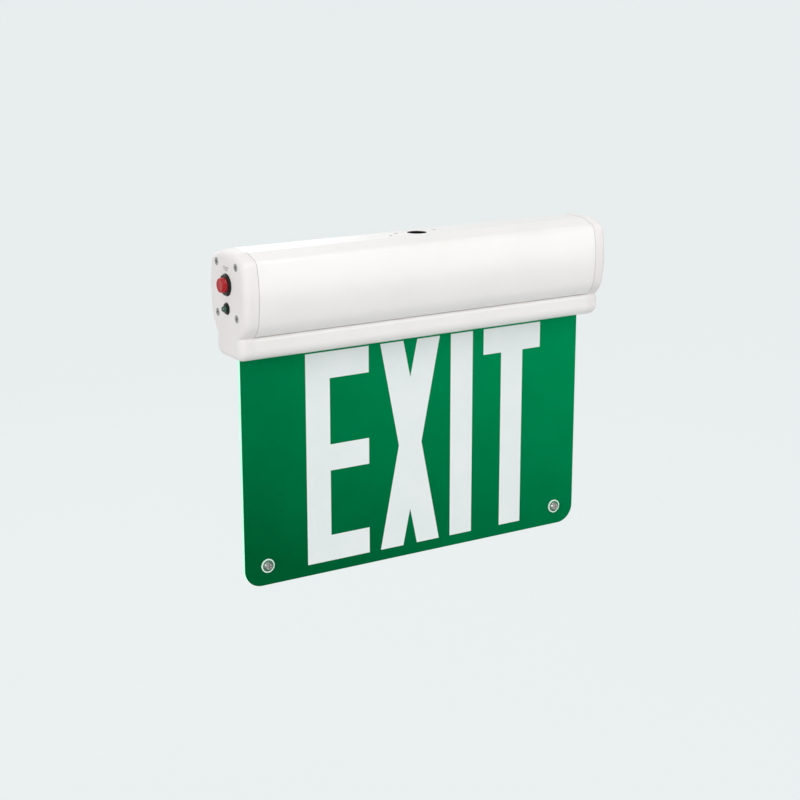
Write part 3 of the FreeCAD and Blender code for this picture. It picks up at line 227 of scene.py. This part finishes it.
@dataclass(frozen=True)
class LegendGreen(Finish):
    """The legend's green film, with painted light that makes it lighter towards its upper right.

    Attributes:
        painted_light_green: the colour of the painted light where it is lightest.
        slope: how fast the share of the painted light grows along X, Y and Z, per metre.
        span_ends: the slope's values where the share is none and all.
        clouds: how far faint clouds move the share either way.
    """

    painted_light_green: tuple[int, int, int] = (0, 152, 92)
    slope: tuple[float, float, float] = (1.417, 0.0, 3.083)
    span_ends: tuple[float, float] = (-0.88, 0.12)
    clouds: float = 0.05

    def colour(self, nodes: Nodes) -> bpy.types.NodeSocket:
        """Green with painted light by place: a slope along X and Z, broken up by faint clouds."""
        slope = nodes.add("VectorMath", operation="DOT_PRODUCT")
        nodes.join(nodes.object_space(), slope.inputs[0])
        slope.inputs[1].default_value = self.slope
        # the share of the painted light, growing towards the upper right
        share = nodes.span(slope.outputs["Value"], 0.0, 1.0, *self.span_ends)
        noise = nodes.noise(nodes.object_space(), 1.0 / self.patch, 3.0)
        clouds = nodes.span(noise, -self.clouds, self.clouds)
        total = nodes.add("Math", operation="ADD", use_clamp=True)
        nodes.join(share, total.inputs[0])
        nodes.join(clouds, total.inputs[1])
        return nodes.blend(total.outputs["Value"], linear(*self.tone), linear(*self.painted_light_green))


@dataclass(frozen=True)
class BushFinish(Finish):
    """The entry bush: a pale lip on top over a dark bore.

    Attributes:
        bore: the colour of the painted shade down the bore.
        lip: the heights between which the colour turns, in metres.
    """

    bore: tuple[int, int, int] = (16, 14, 14)
    lip: tuple[float, float] = (-0.0005, -0.0002)

    def colour(self, nodes: Nodes) -> bpy.types.NodeSocket:
        """Painted shade below the lip's lower height and pale above its upper one."""
        parts = nodes.add("SeparateXYZ")
        nodes.join(nodes.object_space(), parts.inputs["Vector"])
        share = nodes.span(parts.outputs["Z"], 0.0, 1.0, *self.lip)
        # painted shade down the bore, the pale lip above
        return nodes.blend(share, linear(*self.bore), linear(*self.tone))


@dataclass(frozen=True)
class WasherFinish(Finish):
    """The clear washers: painted see-through colour of what they lie on, inside a painted highlight round the
    rim.

    Attributes:
        under_front: the painted see-through colour under the front washers.
        under_back: the painted see-through colour under the back washers.
        centre: distance of each washer from the middle and below the ceiling, in metres.
        rim: inner and outer radius of the ring over which the painted rim highlight grows.
        turn: distance either side of the panel's middle over which front becomes back.
    """

    under_front: tuple[int, int, int] = (0, 104, 60)
    under_back: tuple[int, int, int] = (214, 220, 216)
    centre: tuple[float, float] = (0.123, 0.2223)
    rim: tuple[float, float] = (0.0039, 0.0044)
    turn: float = 0.0001

    def colour(self, nodes: Nodes) -> bpy.types.NodeSocket:
        """The painted rim highlight's share grows with the distance from the washer's axis."""
        place = nodes.object_space()
        size = nodes.add("VectorMath", operation="ABSOLUTE")
        nodes.join(place, size.inputs[0])
        off = nodes.add("VectorMath", operation="SUBTRACT")
        nodes.join(size.outputs["Vector"], off.inputs[0])
        off.inputs[1].default_value = (self.centre[0], 0.0, self.centre[1])
        flat = nodes.add("VectorMath", operation="MULTIPLY")
        nodes.join(off.outputs["Vector"], flat.inputs[0])
        flat.inputs[1].default_value = (1.0, 0.0, 1.0)
        length = nodes.add("VectorMath", operation="LENGTH")
        nodes.join(flat.outputs["Vector"], length.inputs[0])
        parts = nodes.add("SeparateXYZ")
        nodes.join(place, parts.inputs["Vector"])
        behind = nodes.span(parts.outputs["Y"], 0.0, 1.0, -self.turn, self.turn)
        # painted see-through: the colour of what lies under the washer
        under = nodes.add("Mix", data_type="RGBA")
        under.inputs[6].default_value = linear(*self.under_front)
        under.inputs[7].default_value = linear(*self.under_back)
        nodes.join(behind, under.inputs[0])
        # painted highlight, lighter towards the washer's rim
        ring = nodes.add("Mix", data_type="RGBA")
        ring.inputs[7].default_value = linear(*self.tone)
        nodes.join(nodes.span(length.outputs["Value"], 0.0, 1.0, *self.rim), ring.inputs[0])
        nodes.join(under.outputs[2], ring.inputs[6])
        return ring.outputs[2]


FINISHES: tuple[Finish, ...] = (
    Finish("white_enamel", (243, 241, 239), (238, 236, 233), (0.30, 0.40), 0.0011, 0.000012,
           (0.25, 1.0, 1.0), 0.06, coat=0.15),
    Finish("white_plastic", (240, 237, 236), (235, 231, 229), (0.46, 0.56), 0.0005, 0.00001,
           patch=0.03, specular=0.3),
    Finish("zinc_steel", (186, 183, 181), (158, 156, 154), (0.28, 0.5), 0.0006, 0.00002,
           patch=0.004, kind=Kind.METAL),
    # pale_bush: painted shade down its bore, see BushFinish
    BushFinish("pale_bush", (244, 243, 241), (236, 235, 232), (0.5, 0.62), 0.0006, 0.00002,
               specular=0.2),
    Finish("film_white", (237, 243, 242), (231, 239, 238), (0.4, 0.5), 0.0012, 0.000004,
           patch=0.05, specular=0.3),
    # film_green: painted light makes it lighter towards its upper right, see LegendGreen
    LegendGreen("film_green", (0, 92, 49), (0, 92, 49), (0.3, 0.42), 0.0012, 0.000004, patch=0.05,
                specular=0.0),
    # clear_acrylic: its glow is painted glow that makes the panel's edges look lit
    Finish("clear_acrylic", (206, 244, 226), (190, 236, 214), (0.05, 0.14), 0.002, 0.000004,
           kind=Kind.CLEAR, glow=0.4),
    # washer_clear: painted see-through colour and a painted rim highlight, see WasherFinish
    WasherFinish("washer_clear", (232, 250, 240), (220, 244, 230), (0.08, 0.2), 0.001, 0.000005,
                 patch=0.004, coat=0.5),
    Finish("bare_aluminium", (196, 197, 198), (176, 177, 178), (0.3, 0.48), 0.0004, 0.000015,
           (0.05, 1.0, 1.0), kind=Kind.METAL),
    Finish("lamp_white", (240, 236, 196), (232, 226, 176), (0.25, 0.35), 0.0006, 0.000005,
           patch=0.003, glow=0.1),
    Finish("brass", (196, 160, 92), (172, 136, 70), (0.28, 0.42), 0.0005, 0.00001, kind=Kind.METAL),
    Finish("board_green", (28, 96, 56), (20, 80, 46), (0.35, 0.5), 0.0006, 0.00001, patch=0.01,
           coat=0.2),
    Finish("core_iron", (92, 92, 94), (64, 64, 66), (0.5, 0.7), 0.0005, 0.00003, (1.0, 4.0, 1.0)),
    Finish("winding_tape", (206, 176, 70), (190, 158, 54), (0.4, 0.5), 0.001, 0.00002, (0.3, 1.0, 3.0)),
    Finish("can_black", (34, 34, 40), (26, 26, 30), (0.25, 0.4), 0.0008, 0.00001),
    Finish("relay_blue", (42, 82, 142), (36, 70, 124), (0.35, 0.45), 0.0008, 0.00001),
    Finish("terminal_green", (52, 128, 72), (44, 112, 62), (0.4, 0.5), 0.0008, 0.00001),
    Finish("socket_white", (228, 224, 212), (216, 212, 198), (0.5, 0.6), 0.0006, 0.00001, patch=0.005),
    Finish("battery_sleeve", (46, 92, 150), (38, 78, 132), (0.2, 0.3), 0.003, 0.00004, (0.3, 1.0, 1.0)),
    Finish("dark_plastic", (20, 18, 18), (14, 12, 13), (0.28, 0.4), 0.0006, 0.00001, patch=0.004,
           specular=0.25),
    Finish("button_red", (186, 14, 26), (164, 8, 18), (0.25, 0.35), 0.0008, 0.00001, patch=0.003,
           specular=0.3, coat=0.1),
    Finish("spring_steel", (176, 176, 178), (150, 150, 152), (0.25, 0.35), 0.0005, 0.00001,
           kind=Kind.METAL),
    Finish("lens_green", (20, 72, 58), (12, 56, 44), (0.08, 0.15), 0.0008, 0.000004, patch=0.003,
           coat=0.6),
    Finish("lead_red", (176, 32, 34), (160, 26, 28), (0.4, 0.5), 0.0006, 0.00001),
    Finish("lead_white", (226, 226, 222), (214, 214, 210), (0.4, 0.5), 0.0006, 0.00001),
    Finish("lead_black", (34, 34, 34), (26, 26, 26), (0.4, 0.5), 0.0006, 0.00001),
    Finish("lead_green", (44, 128, 66), (36, 112, 56), (0.4, 0.5), 0.0006, 0.00001),
    Finish("joint_shade", (150, 148, 146), (140, 138, 136), (0.7, 0.8), 0.0006, 0.000005),
    Finish("print_grey", (120, 118, 118), (108, 106, 106), (0.5, 0.6), 0.0005, 0.000005),
)


@dataclass
class Paintbox:
    """Every finish as a made material, found by its slot's name."""

    made: dict[str, bpy.types.Material] = field(default_factory=dict)

    def fill(self) -> None:
        """Build all the finishes."""
        for finish in FINISHES:
            self.made[finish.slot] = finish.build()

    def paint(self, item: bpy.types.Object, slot: str) -> None:
        """Give an object one finish."""
        item.data.materials.clear()
        item.data.materials.append(self.made[slot])


# ---- surfaces -----------------------------------------------------------------------

def grid_mesh(name: str, points: np.ndarray, wrap_first: bool, wrap_second: bool) -> bpy.types.Object:
    """An object whose quads join neighbouring points of a grid.

    Args:
        name: the object's name.
        points: array of rows, columns and coordinates.
        wrap_first: whether the last row joins the first.
        wrap_second: whether the last column joins the first.

    Returns:
        The linked object, smooth shaded, with doubles merged and faces outwards.
    """
    rows, columns = points.shape[:2]
    index = np.arange(rows * columns).reshape(rows, columns)
    if wrap_first:
        index = np.vstack([index, index[:1]])
    if wrap_second:
        index = np.hstack([index, index[:, :1]])
    quads = np.stack([index[:-1, :-1], index[1:, :-1], index[1:, 1:], index[:-1, 1:]], axis=-1).reshape(-1, 4)
    mesh = bpy.data.meshes.new(name)
    mesh.from_pydata(points.reshape(-1, 3).tolist(), [], quads.tolist())
    item = bpy.data.objects.new(name, mesh)
    bpy.context.scene.collection.objects.link(item)
    heal(item)
    return item


def heal(item: bpy.types.Object) -> None:
    """Merge a new mesh's doubles, point its faces outwards and shade it smooth."""
    work = bmesh.new()
    work.from_mesh(item.data)
    bmesh.ops.remove_doubles(work, verts=work.verts, dist=SAME_POINT)
    bmesh.ops.recalc_face_normals(work, faces=work.faces)
    work.to_mesh(item.data)
    work.free()
    item.data.polygons.foreach_set("use_smooth", np.ones(len(item.data.polygons), dtype=bool))


def turned_form(name: str, profile: list[tuple[float, float]], centre: tuple[float, float, float],
                axis: str, steps: int = 96) -> bpy.types.Object:
    """A turned solid: a profile of (along, radius) swept round an axis.

    The surface is centre + along * axis + radius * (cos t * side + sin t * other).

    Args:
        name: the object's name.
        profile: pairs of distance along the axis and radius, closed by the poles.
        centre: where the axis starts, in metres.
        axis: X, Y or Z.
        steps: how many columns go round.

    Returns:
        The object.
    """
    line = np.array(profile)
    turn = np.linspace(0.0, 2.0 * math.pi, steps, endpoint=False)
    along = np.repeat(line[:, :1], steps, axis=1)
    wide = line[:, 1:] * np.cos(turn)
    high = line[:, 1:] * np.sin(turn)
    order = {"X": (along, wide, high), "Y": (wide, along, high), "Z": (wide, high, along)}[axis]
    return grid_mesh(name, np.stack(order, axis=-1) + np.array(centre), False, True)


def rounded(corners: list[tuple[float, float, float]], steps: int = 6) -> list[tuple[float, float]]:
    """A profile whose corners are rounded.

    Each corner is (along, radius, size): the two cuts lie that size from the corner on
    its two runs, and a quadratic curve with the corner as its control joins them.

    Args:
        corners: the profile's corners in order.
        steps: points on each rounded corner.

    Returns:
        The profile as plain pairs.
    """
    plain = np.array([corner[:2] for corner in corners])
    share = np.linspace(0.0, 1.0, steps)[:, None]
    made: list[tuple[float, float]] = [tuple(plain[0])]
    for number in range(1, len(corners) - 1):
        size = corners[number][2]
        here = plain[number]
        before = plain[number - 1] - here
        after = plain[number + 1] - here
        first = here + before / np.linalg.norm(before) * size
        last = here + after / np.linalg.norm(after) * size
        bend = (1 - share) ** 2 * first + 2 * share * (1 - share) * here + share ** 2 * last
        made.extend(tuple(pair) for pair in (bend if size else here[None]))
    made.append(tuple(plain[-1]))
    return made


@dataclass
class HousingSection:
    """The outline that the housing and its caps share, in metres, half by half."""

    strip: float = 0.010
    shoulder: tuple[float, float] = (0.0205, -0.0034)
    corner_bend: tuple[float, float] = (0.022918, -0.0052)
    corner: tuple[float, float] = (0.0244, -0.0086)
    belly: tuple[float, float] = (0.0267, -0.027)
    hip: tuple[float, float] = (0.025, -0.0445)
    neck_bend: tuple[float, float] = (0.0229, -0.050)
    neck: tuple[float, float] = (0.0175, -0.0555)

    @staticmethod
    def arc(first: tuple[float, float], through: tuple[float, float], last: tuple[float, float],
            steps: int = 24) -> np.ndarray:
        """Points on the circle through three points, from the first to the last.

        The centre solves the two equal-distance equations, and the angle runs evenly
        from the first point to the last on the side of the middle one.
        """
        a, b, c = (np.array(point) for point in (first, through, last))
        system = 2 * np.array([b - a, c - a])
        centre = np.linalg.solve(system, np.array([b @ b - a @ a, c @ c - a @ a]))
        radius = np.linalg.norm(a - centre)
        angles = np.unwrap([math.atan2(*(point - centre)[::-1]) for point in (a, b, c)])
        turn = np.linspace(angles[0], angles[2], steps)
        return centre + radius * np.stack([np.cos(turn), np.sin(turn)], axis=-1)

    def half(self) -> np.ndarray:
        """The half with Y positive, from the top strip's edge down to the neck."""
        return np.vstack([
            np.array([(0.0, 0.0), (self.strip, 0.0), self.shoulder]),
            self.arc(self.shoulder, self.corner_bend, self.corner),
            self.arc(self.corner, self.belly, self.hip),
            self.arc(self.hip, self.neck_bend, self.neck),
        ])

    def whole(self) -> np.ndarray:
        """The open outline from one neck over the top to the other."""
        half = self.half()
        keep = np.r_[True, np.linalg.norm(np.diff(half, axis=0), axis=1) > SAME_POINT]
        half = half[keep]
        return np.vstack([half[::-1] * (-1.0, 1.0), half[1:]])[::-1]


# ---- pieces -------------------------------------------------------------------------

@dataclass
class HousingTrim:
    """The housing's fine trim: the two joint lines and the cable entry's bush.

    Attributes:
        paintbox: where the finishes come from.
        gap_wide: width of a joint line along X.
        gap_proud: how far it stands out of the housing.
        gap_deep: how far it reaches into the wall.
        entry_radius: the bush's bore.
        flange_thick: thickness of each of the bush's flanges.
        neck_radius: radius between the flanges.
        soft: how far the bush's edges are rounded.
    """

    paintbox: Paintbox
    gap_wide: float = 0.00022
    gap_proud: float = 0.00004
    gap_deep: float = 0.0003
    entry_radius: float = 0.0068
    flange_thick: float = 0.0009
    neck_radius: float = 0.0079
    soft: float = 0.00025

    def joint_line(self, side: int) -> bpy.types.Object:
        """A hair of shadow where a cap meets the housing.

        The outline is offset along its own normals by the small proud height, and the
        strip spans that offset over the gap's width along X.
        """
        section = HousingSection()
        line = section.whole()
        run = np.gradient(line, axis=0)
        normal = np.stack([-run[:, 1], run[:, 0]], axis=-1)
        normal /= np.linalg.norm(normal, axis=1, keepdims=True)
        outward = np.sign(np.sum(normal * (line - (0.0, section.belly[1])), axis=1, keepdims=True))
        outer = line + normal * outward * self.gap_proud
        inner = line - normal * outward * self.gap_deep
        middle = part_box("housing_shell")[1].x * side
        around = [(middle - self.gap_wide / 2, outer), (middle + self.gap_wide / 2, outer),
                  (middle + self.gap_wide / 2, inner), (middle - self.gap_wide / 2, inner)]
        points = np.stack([np.column_stack([np.full(len(line), x), path]) for x, path in around])
        item = grid_mesh(f"joint_line_{'left' if side < 0 else 'right'}", points, True, False)
        self.paintbox.paint(item, "joint_shade")
        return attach(item, HOUSING)

    def bush(self) -> bpy.types.Object:
        """The cable entry's bush with softened lips, in place of the plain one."""
        low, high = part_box("cable_grommet")
        bore, flange, neck, soft = self.entry_radius, high.x, self.neck_radius, self.soft
        upper, lower = -self.flange_thick, low.z + self.flange_thick
        corners = [(0.0, bore + soft * 2, 0.0), (0.0, flange, soft), (upper, flange, 0.0),
                   (upper, neck, 0.0), (lower, neck, 0.0), (lower, flange, soft),
                   (low.z, flange, soft), (low.z, bore, soft), (-soft * 2, bore, soft),
                   (0.0, bore + soft * 2, 0.0)]
        item = turned_form("entry_bush", rounded(corners), (0.0, 0.0, 0.0), "Z")
        self.paintbox.paint(item, "pale_bush")
        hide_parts("cable_grommet")
        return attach(item, HOUSING)


def axis_of(node: str) -> tuple[float, float]:
    """Height and largest radius of a round node that lies along X, in metres."""
    low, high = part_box(node)
    return (low.z + high.z) / 2.0, (high.z - low.z) / 2.0


@dataclass
class Controls:
    """The left cap's test button and its spring, the charge lamp and the printed word.

    Attributes:
        paintbox: where the finishes come from.
        button_radius: radius of the button and of its stem.
        crown: how far the button's outer edge is rounded.
        edge: how far its other edges are rounded, and how deep its face is dished.
        dish: inner and outer radius of the dish's slope, as shares of the button's.
        collar_at: distance from the bezel's face to the collar.
        collar_thick: thickness of the collar.
        travel: how far the button can be pressed; not used.
        spring_turns: turns of the return spring.
        spring_radius: radius of the coil at the middle of its wire.
        spring_wire: half the wire's side.
        spring_steps: cuts along each turn of the wire.
        word_height: size of the printed letters.
        word_drop: how far the word's base line lies below the ceiling.
        ink: half the print's thickness.
        ink_proud: how far the print's middle stands out of the cap's face.
    """

    paintbox: Paintbox
    button_radius: float = 0.005
    crown: float = 0.0009
    edge: float = 0.0002
    dish: tuple[float, float] = (0.52, 0.62)
    collar_at: float = 0.0041
    collar_thick: float = 0.002
    travel: float = 0.002
    spring_turns: int = 4
    spring_radius: float = 0.0034
    spring_wire: float = 0.0004
    spring_steps: int = 48
    word_height: float = 0.0036
    word_drop: float = 0.0125
    ink: float = 0.00002
    ink_proud: float = 0.00003

    def plunger(self) -> bpy.types.Object:
        """The plunger: a face dished by a shallow ring, a soft edge, stem and collar."""
        low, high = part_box("test_button")
        height, collar = axis_of("test_button")
        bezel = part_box("switch_body")[0].x
        top, tail = low.x - bezel, high.x - bezel
        r, edge = self.button_radius, self.edge
        near, back = self.collar_at, self.collar_at + self.collar_thick
        corners = [(top + edge, 0.0, 0.0), (top + edge, r * self.dish[0], edge),
                   (top, r * self.dish[1], edge), (top, r, self.crown), (near, r, 0.0),
                   (near, collar, edge), (back, collar, edge), (back, r, 0.0),
                   (tail, r, edge * 1.5), (tail, 0.0, 0.0)]
        item = turned_form("plunger_form", rounded(corners), (bezel, 0.0, height), "X")
        self.paintbox.paint(item, "button_red")
        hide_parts("test_button")
        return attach(item, PLUNGER)

    def spring(self) -> bpy.types.Object:
        """The return spring: a coil of square wire that the plunger squeezes.

        The wire's corners follow x = start + pitch * t, at the coil's radius round the button's axis.

        Returns:
            The coil, riding on the housing.
        """
        low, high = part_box("button_spring")
        half = self.spring_wire
        height = axis_of("test_button")[0]
        steps = self.spring_steps * self.spring_turns + 1
        turn = np.linspace(0.0, 2.0 * math.pi * self.spring_turns, steps)[:, None]
        across = np.array([[-half, half, half, -half]]) + self.spring_radius
        along = np.array([[-half, -half, half, half]])
        reach = high.x - low.x - 2.0 * half
        x = low.x + half + reach * turn / turn[-1, 0] + along
        y = across * np.cos(turn)
        z = across * np.sin(turn) + height
        rows = np.stack([x, y, z], axis=-1)
        ends = [np.repeat(rows[at].mean(axis=0)[None, None], 4, axis=1) for at in (0, -1)]
        item = grid_mesh("return_spring", np.concatenate([ends[0], rows, ends[1]]), False, True)
        item.data.polygons.foreach_set("use_smooth", np.zeros(len(item.data.polygons), dtype=bool))
        self.paintbox.paint(item, "spring_steel")
        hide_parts("button_spring")
        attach(item, HOUSING)
        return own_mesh(item)

    def lens(self) -> bpy.types.Object:
        """The charge lamp's lens: a half sphere run into a stem."""
        low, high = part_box("indicator_lens")
        height, r = axis_of("indicator_lens")
        turn = np.linspace(0.0, math.pi / 2, 20)
        dome = [(low.x + r * (1 - math.cos(angle)), r * math.sin(angle)) for angle in turn]
        item = turned_form("lamp_lens", [*dome, (high.x, r), (high.x, 0.0)], (0.0, 0.0, height), "X", 64)
        self.paintbox.paint(item, "lens_green")
        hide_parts("indicator_lens")
        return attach(item, HOUSING)

    def printed_word(self) -> bpy.types.Object:
        """The word TEST over the button, printed a hair proud of the cap's face."""
        curve = bpy.data.curves.new("test_word", "FONT")
        curve.body = "TEST"
        curve.size = self.word_height
        curve.align_x = "CENTER"
        curve.extrude = self.ink
        flat = bpy.data.objects.new("test_word_flat", curve)
        mesh = bpy.data.meshes.new_from_object(flat)
        bpy.data.objects.remove(flat)
        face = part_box("left_end_cap")[0].x
        place = Matrix(((0.0, 0.0, -1.0, face - self.ink_proud), (-1.0, 0.0, 0.0, 0.0),
                        (0.0, 1.0, 0.0, -self.word_drop), (0.0, 0.0, 0.0, 1.0)))
        mesh.transform(place)
        item = bpy.data.objects.new("test_word", mesh)
        bpy.context.scene.collection.objects.link(item)
        self.paintbox.paint(item, "print_grey")
        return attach(item, HOUSING)


@dataclass
class FrameDress:
    """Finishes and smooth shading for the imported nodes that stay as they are."""

    paintbox: Paintbox
    crease: float = 28.0

    def dress(self) -> int:
        """Paint every node by its slot.

        Returns:
            How many nodes were painted.
        """
        slots = {part["node"]: part["material_slot"] for part in frame["record"]["subparts"]}
        for name, node in frame["nodes"].items():
            self.paintbox.paint(node, slots[name])
            self.soften(node)
        return len(frame["nodes"])

    def soften(self, node: bpy.types.Object) -> None:
        """Shade a node smooth up to its creases, through modifiers alone."""
        weld = node.modifiers.new("weld", "WELD")
        weld.merge_threshold = 1e-6
        split = node.modifiers.new("creases", "EDGE_SPLIT")
        split.split_angle = math.radians(self.crease)
        split.use_edge_sharp = False


# ---- room, lamps and view -----------------------------------------------------------

@dataclass(frozen=True)
class Lamp:
    """A square soft lamp.

    Attributes:
        name: the lamp's name.
        place: where it hangs, in metres.
        aim: the point that it faces.
        side: the length of its sides.
        power: its power in watts.
    """

    name: str
    place: tuple[float, float, float]
    aim: tuple[float, float, float]
    side: float
    power: float

    def hang(self) -> None:
        """Put the lamp in the scene, facing its aim."""
        data = bpy.data.lights.new(self.name, "AREA")
        data.shape = "SQUARE"
        data.size = self.side
        data.energy = self.power
        item = bpy.data.objects.new(self.name, data)
        item.location = self.place
        item.rotation_euler = (Vector(self.aim) - Vector(self.place)).to_track_quat("-Z", "Y").to_euler()
        bpy.context.scene.collection.objects.link(item)


LAMPS: tuple[Lamp, ...] = (
    Lamp("lamp_above", (0.1, -0.55, 1.05), (0.0, 0.0, -0.05), 1.1, 6.7),
    Lamp("lamp_front", (0.9, -1.5, 0.25), (0.0, 0.0, -0.15), 1.2, 9.4),
    Lamp("lamp_left", (-1.5, -0.5, 0.2), (0.0, 0.0, -0.1), 1.0, 11.0),
    Lamp("lamp_back", (0.2, 1.5, 0.6), (0.0, 0.0, -0.1), 1.2, 8.0),
)


@dataclass
class Studio:
    """A plain pale floor and backdrop, and broad soft lamps.

    Attributes:
        pale: sRGB colour of floor and backdrop.
        sky: strength of the light from all round.
        floor_level: height of the floor, in metres.
        floor_reach: how far the floor runs from the middle.
        floor_matt: colour by which the floor lights the object.
        floor_thin: colour by which the seen floor takes a shadow.
        floor_seen: strength of the seen floor's own pale colour.
    """

    pale: tuple[int, int, int] = (234, 239, 240)
    sky: float = 0.42
    floor_level: float = -0.62
    floor_reach: float = 60.0
    floor_matt: tuple[float, float, float, float] = (0.62, 0.63, 0.635, 1.0)
    floor_thin: tuple[float, float, float, float] = (0.05, 0.05, 0.05, 1.0)
    floor_seen: float = 0.955

    def backdrop_colour(self) -> tuple[float, float, float, float]:
        """The pale colour that the camera sees all round."""
        return linear(*self.pale)

    def world(self) -> None:
        """Light from all round, with the pale backdrop where it is seen or mirrored."""
        world = bpy.data.worlds.new("studio")
        bpy.context.scene.world = world
        world.use_nodes = True
        nodes = Nodes(world.node_tree)
        path = nodes.add("LightPath")
        light = nodes.add("Background", in_Color=(1.0, 1.0, 1.0, 1.0), in_Strength=self.sky)
        seen = nodes.add("Background", in_Color=self.backdrop_colour(), in_Strength=1.0)
        first = nodes.add("Math", operation="MAXIMUM")
        nodes.join(path.outputs["Is Camera Ray"], first.inputs[0])
        nodes.join(path.outputs["Is Glossy Ray"], first.inputs[1])
        second = nodes.add("Math", operation="MAXIMUM")
        nodes.join(first.outputs["Value"], second.inputs[0])
        nodes.join(path.outputs["Is Transmission Ray"], second.inputs[1])
        mix = nodes.add("MixShader")
        nodes.join(second.outputs["Value"], mix.inputs["Fac"])
        nodes.join(light.outputs["Background"], mix.inputs[1])
        nodes.join(seen.outputs["Background"], mix.inputs[2])
        output = nodes.add("OutputWorld")
        nodes.join(mix.outputs["Shader"], output.inputs["Surface"])

    def floor(self) -> bpy.types.Object:
        """A wide floor that keeps a faint shadow and is otherwise the backdrop's colour."""
        mesh = bpy.data.meshes.new("floor")
        corners = [(self.floor_reach * x, self.floor_reach * y, self.floor_level)
                   for x, y in ((-1, -1), (1, -1), (1, 1), (-1, 1))]
        mesh.from_pydata(corners, [], [(0, 1, 2, 3)])
        item = bpy.data.objects.new("floor", mesh)
        bpy.context.scene.collection.objects.link(item)
        material = bpy.data.materials.new("floor")
        material.use_nodes = True
        nodes = Nodes(material.node_tree)
        path = nodes.add("LightPath")
        matt = nodes.add("BsdfDiffuse", in_Color=self.floor_matt)
        seen = nodes.add("Emission", in_Color=self.backdrop_colour(), in_Strength=self.floor_seen)
        thin = nodes.add("BsdfDiffuse", in_Color=self.floor_thin)
        both = nodes.add("AddShader")
        nodes.join(seen.outputs["Emission"], both.inputs[0])
        nodes.join(thin.outputs["BSDF"], both.inputs[1])
        mix = nodes.add("MixShader")
        first = nodes.add("Math", operation="MAXIMUM")
        nodes.join(path.outputs["Is Camera Ray"], first.inputs[0])
        nodes.join(path.outputs["Is Glossy Ray"], first.inputs[1])
        nodes.join(first.outputs["Value"], mix.inputs["Fac"])
        nodes.join(matt.outputs["BSDF"], mix.inputs[1])
        nodes.join(both.outputs["Shader"], mix.inputs[2])
        output = nodes.add("OutputMaterial")
        nodes.join(mix.outputs["Shader"], output.inputs["Surface"])
        mesh.materials.append(material)
        return item

    def light(self) -> None:
        """Hang the lamps: above, in front to the right, to the left, and behind."""
        for lamp in LAMPS:
            lamp.hang()


@dataclass
class Viewpoint:
    """The camera: where it stands, how it is turned, and its lens.

    Attributes:
        yaw: degrees that the camera looks to the right of straight at the legend.
        pitch: degrees that it looks down.
        roll: degrees that it leans.
        place: where it stands, in metres.
        lens: focal length in millimetres on a 36 mm frame.
    """

    yaw: float = 31.776
    pitch: float = 15.029
    roll: float = 0.042
    place: tuple[float, float, float] = (-0.63428, -1.00149, 0.19697)
    lens: float = 77.2

    def axes(self) -> np.ndarray:
        """Rows of the camera's right, up and forward directions in the model's frame."""
        yaw, pitch, roll = (math.radians(angle) for angle in (self.yaw, self.pitch, self.roll))
        level = np.array([[math.cos(yaw), -math.sin(yaw), 0.0], [0.0, 0.0, 1.0],
                          [math.sin(yaw), math.cos(yaw), 0.0]])
        down = np.array([[1.0, 0.0, 0.0], [0.0, math.cos(pitch), math.sin(pitch)],
                         [0.0, -math.sin(pitch), math.cos(pitch)]])
        lean = np.array([[math.cos(roll), -math.sin(roll), 0.0], [math.sin(roll), math.cos(roll), 0.0],
                         [0.0, 0.0, 1.0]])
        return lean @ down @ level

    def stand(self) -> None:
        """Make the scene's camera."""
        data = bpy.data.cameras.new("view")
        data.lens = self.lens
        data.sensor_width = 36.0
        data.clip_start = 0.01
        data.clip_end = 300.0
        camera = bpy.data.objects.new("view", data)
        right, up, ahead = self.axes()
        turn = Matrix([[right[n], up[n], -ahead[n]] for n in range(3)])
        camera.matrix_world = Matrix.Translation(self.place) @ turn.to_4x4()
        bpy.context.scene.collection.objects.link(camera)
        bpy.context.scene.camera = camera


def main() -> None:
    """Build the scene in order and report each piece."""
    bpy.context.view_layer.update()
    bpy.context.scene.view_settings.view_transform = "Standard"
    paintbox = Paintbox()
    paintbox.fill()
    log.info("nodes dressed: %d", FrameDress(paintbox).dress())
    trim = HousingTrim(paintbox)
    controls = Controls(paintbox)
    for piece in (trim.joint_line(-1), trim.joint_line(1), trim.bush(), controls.plunger(),
                  controls.spring(), controls.lens(), controls.printed_word()):
        log.info("piece: %s, %d faces", piece.name, len(piece.data.polygons))
    studio = Studio()
    studio.world()
    studio.floor()
    studio.light()
    Viewpoint().stand()


if __name__ == "__main__":
    main()
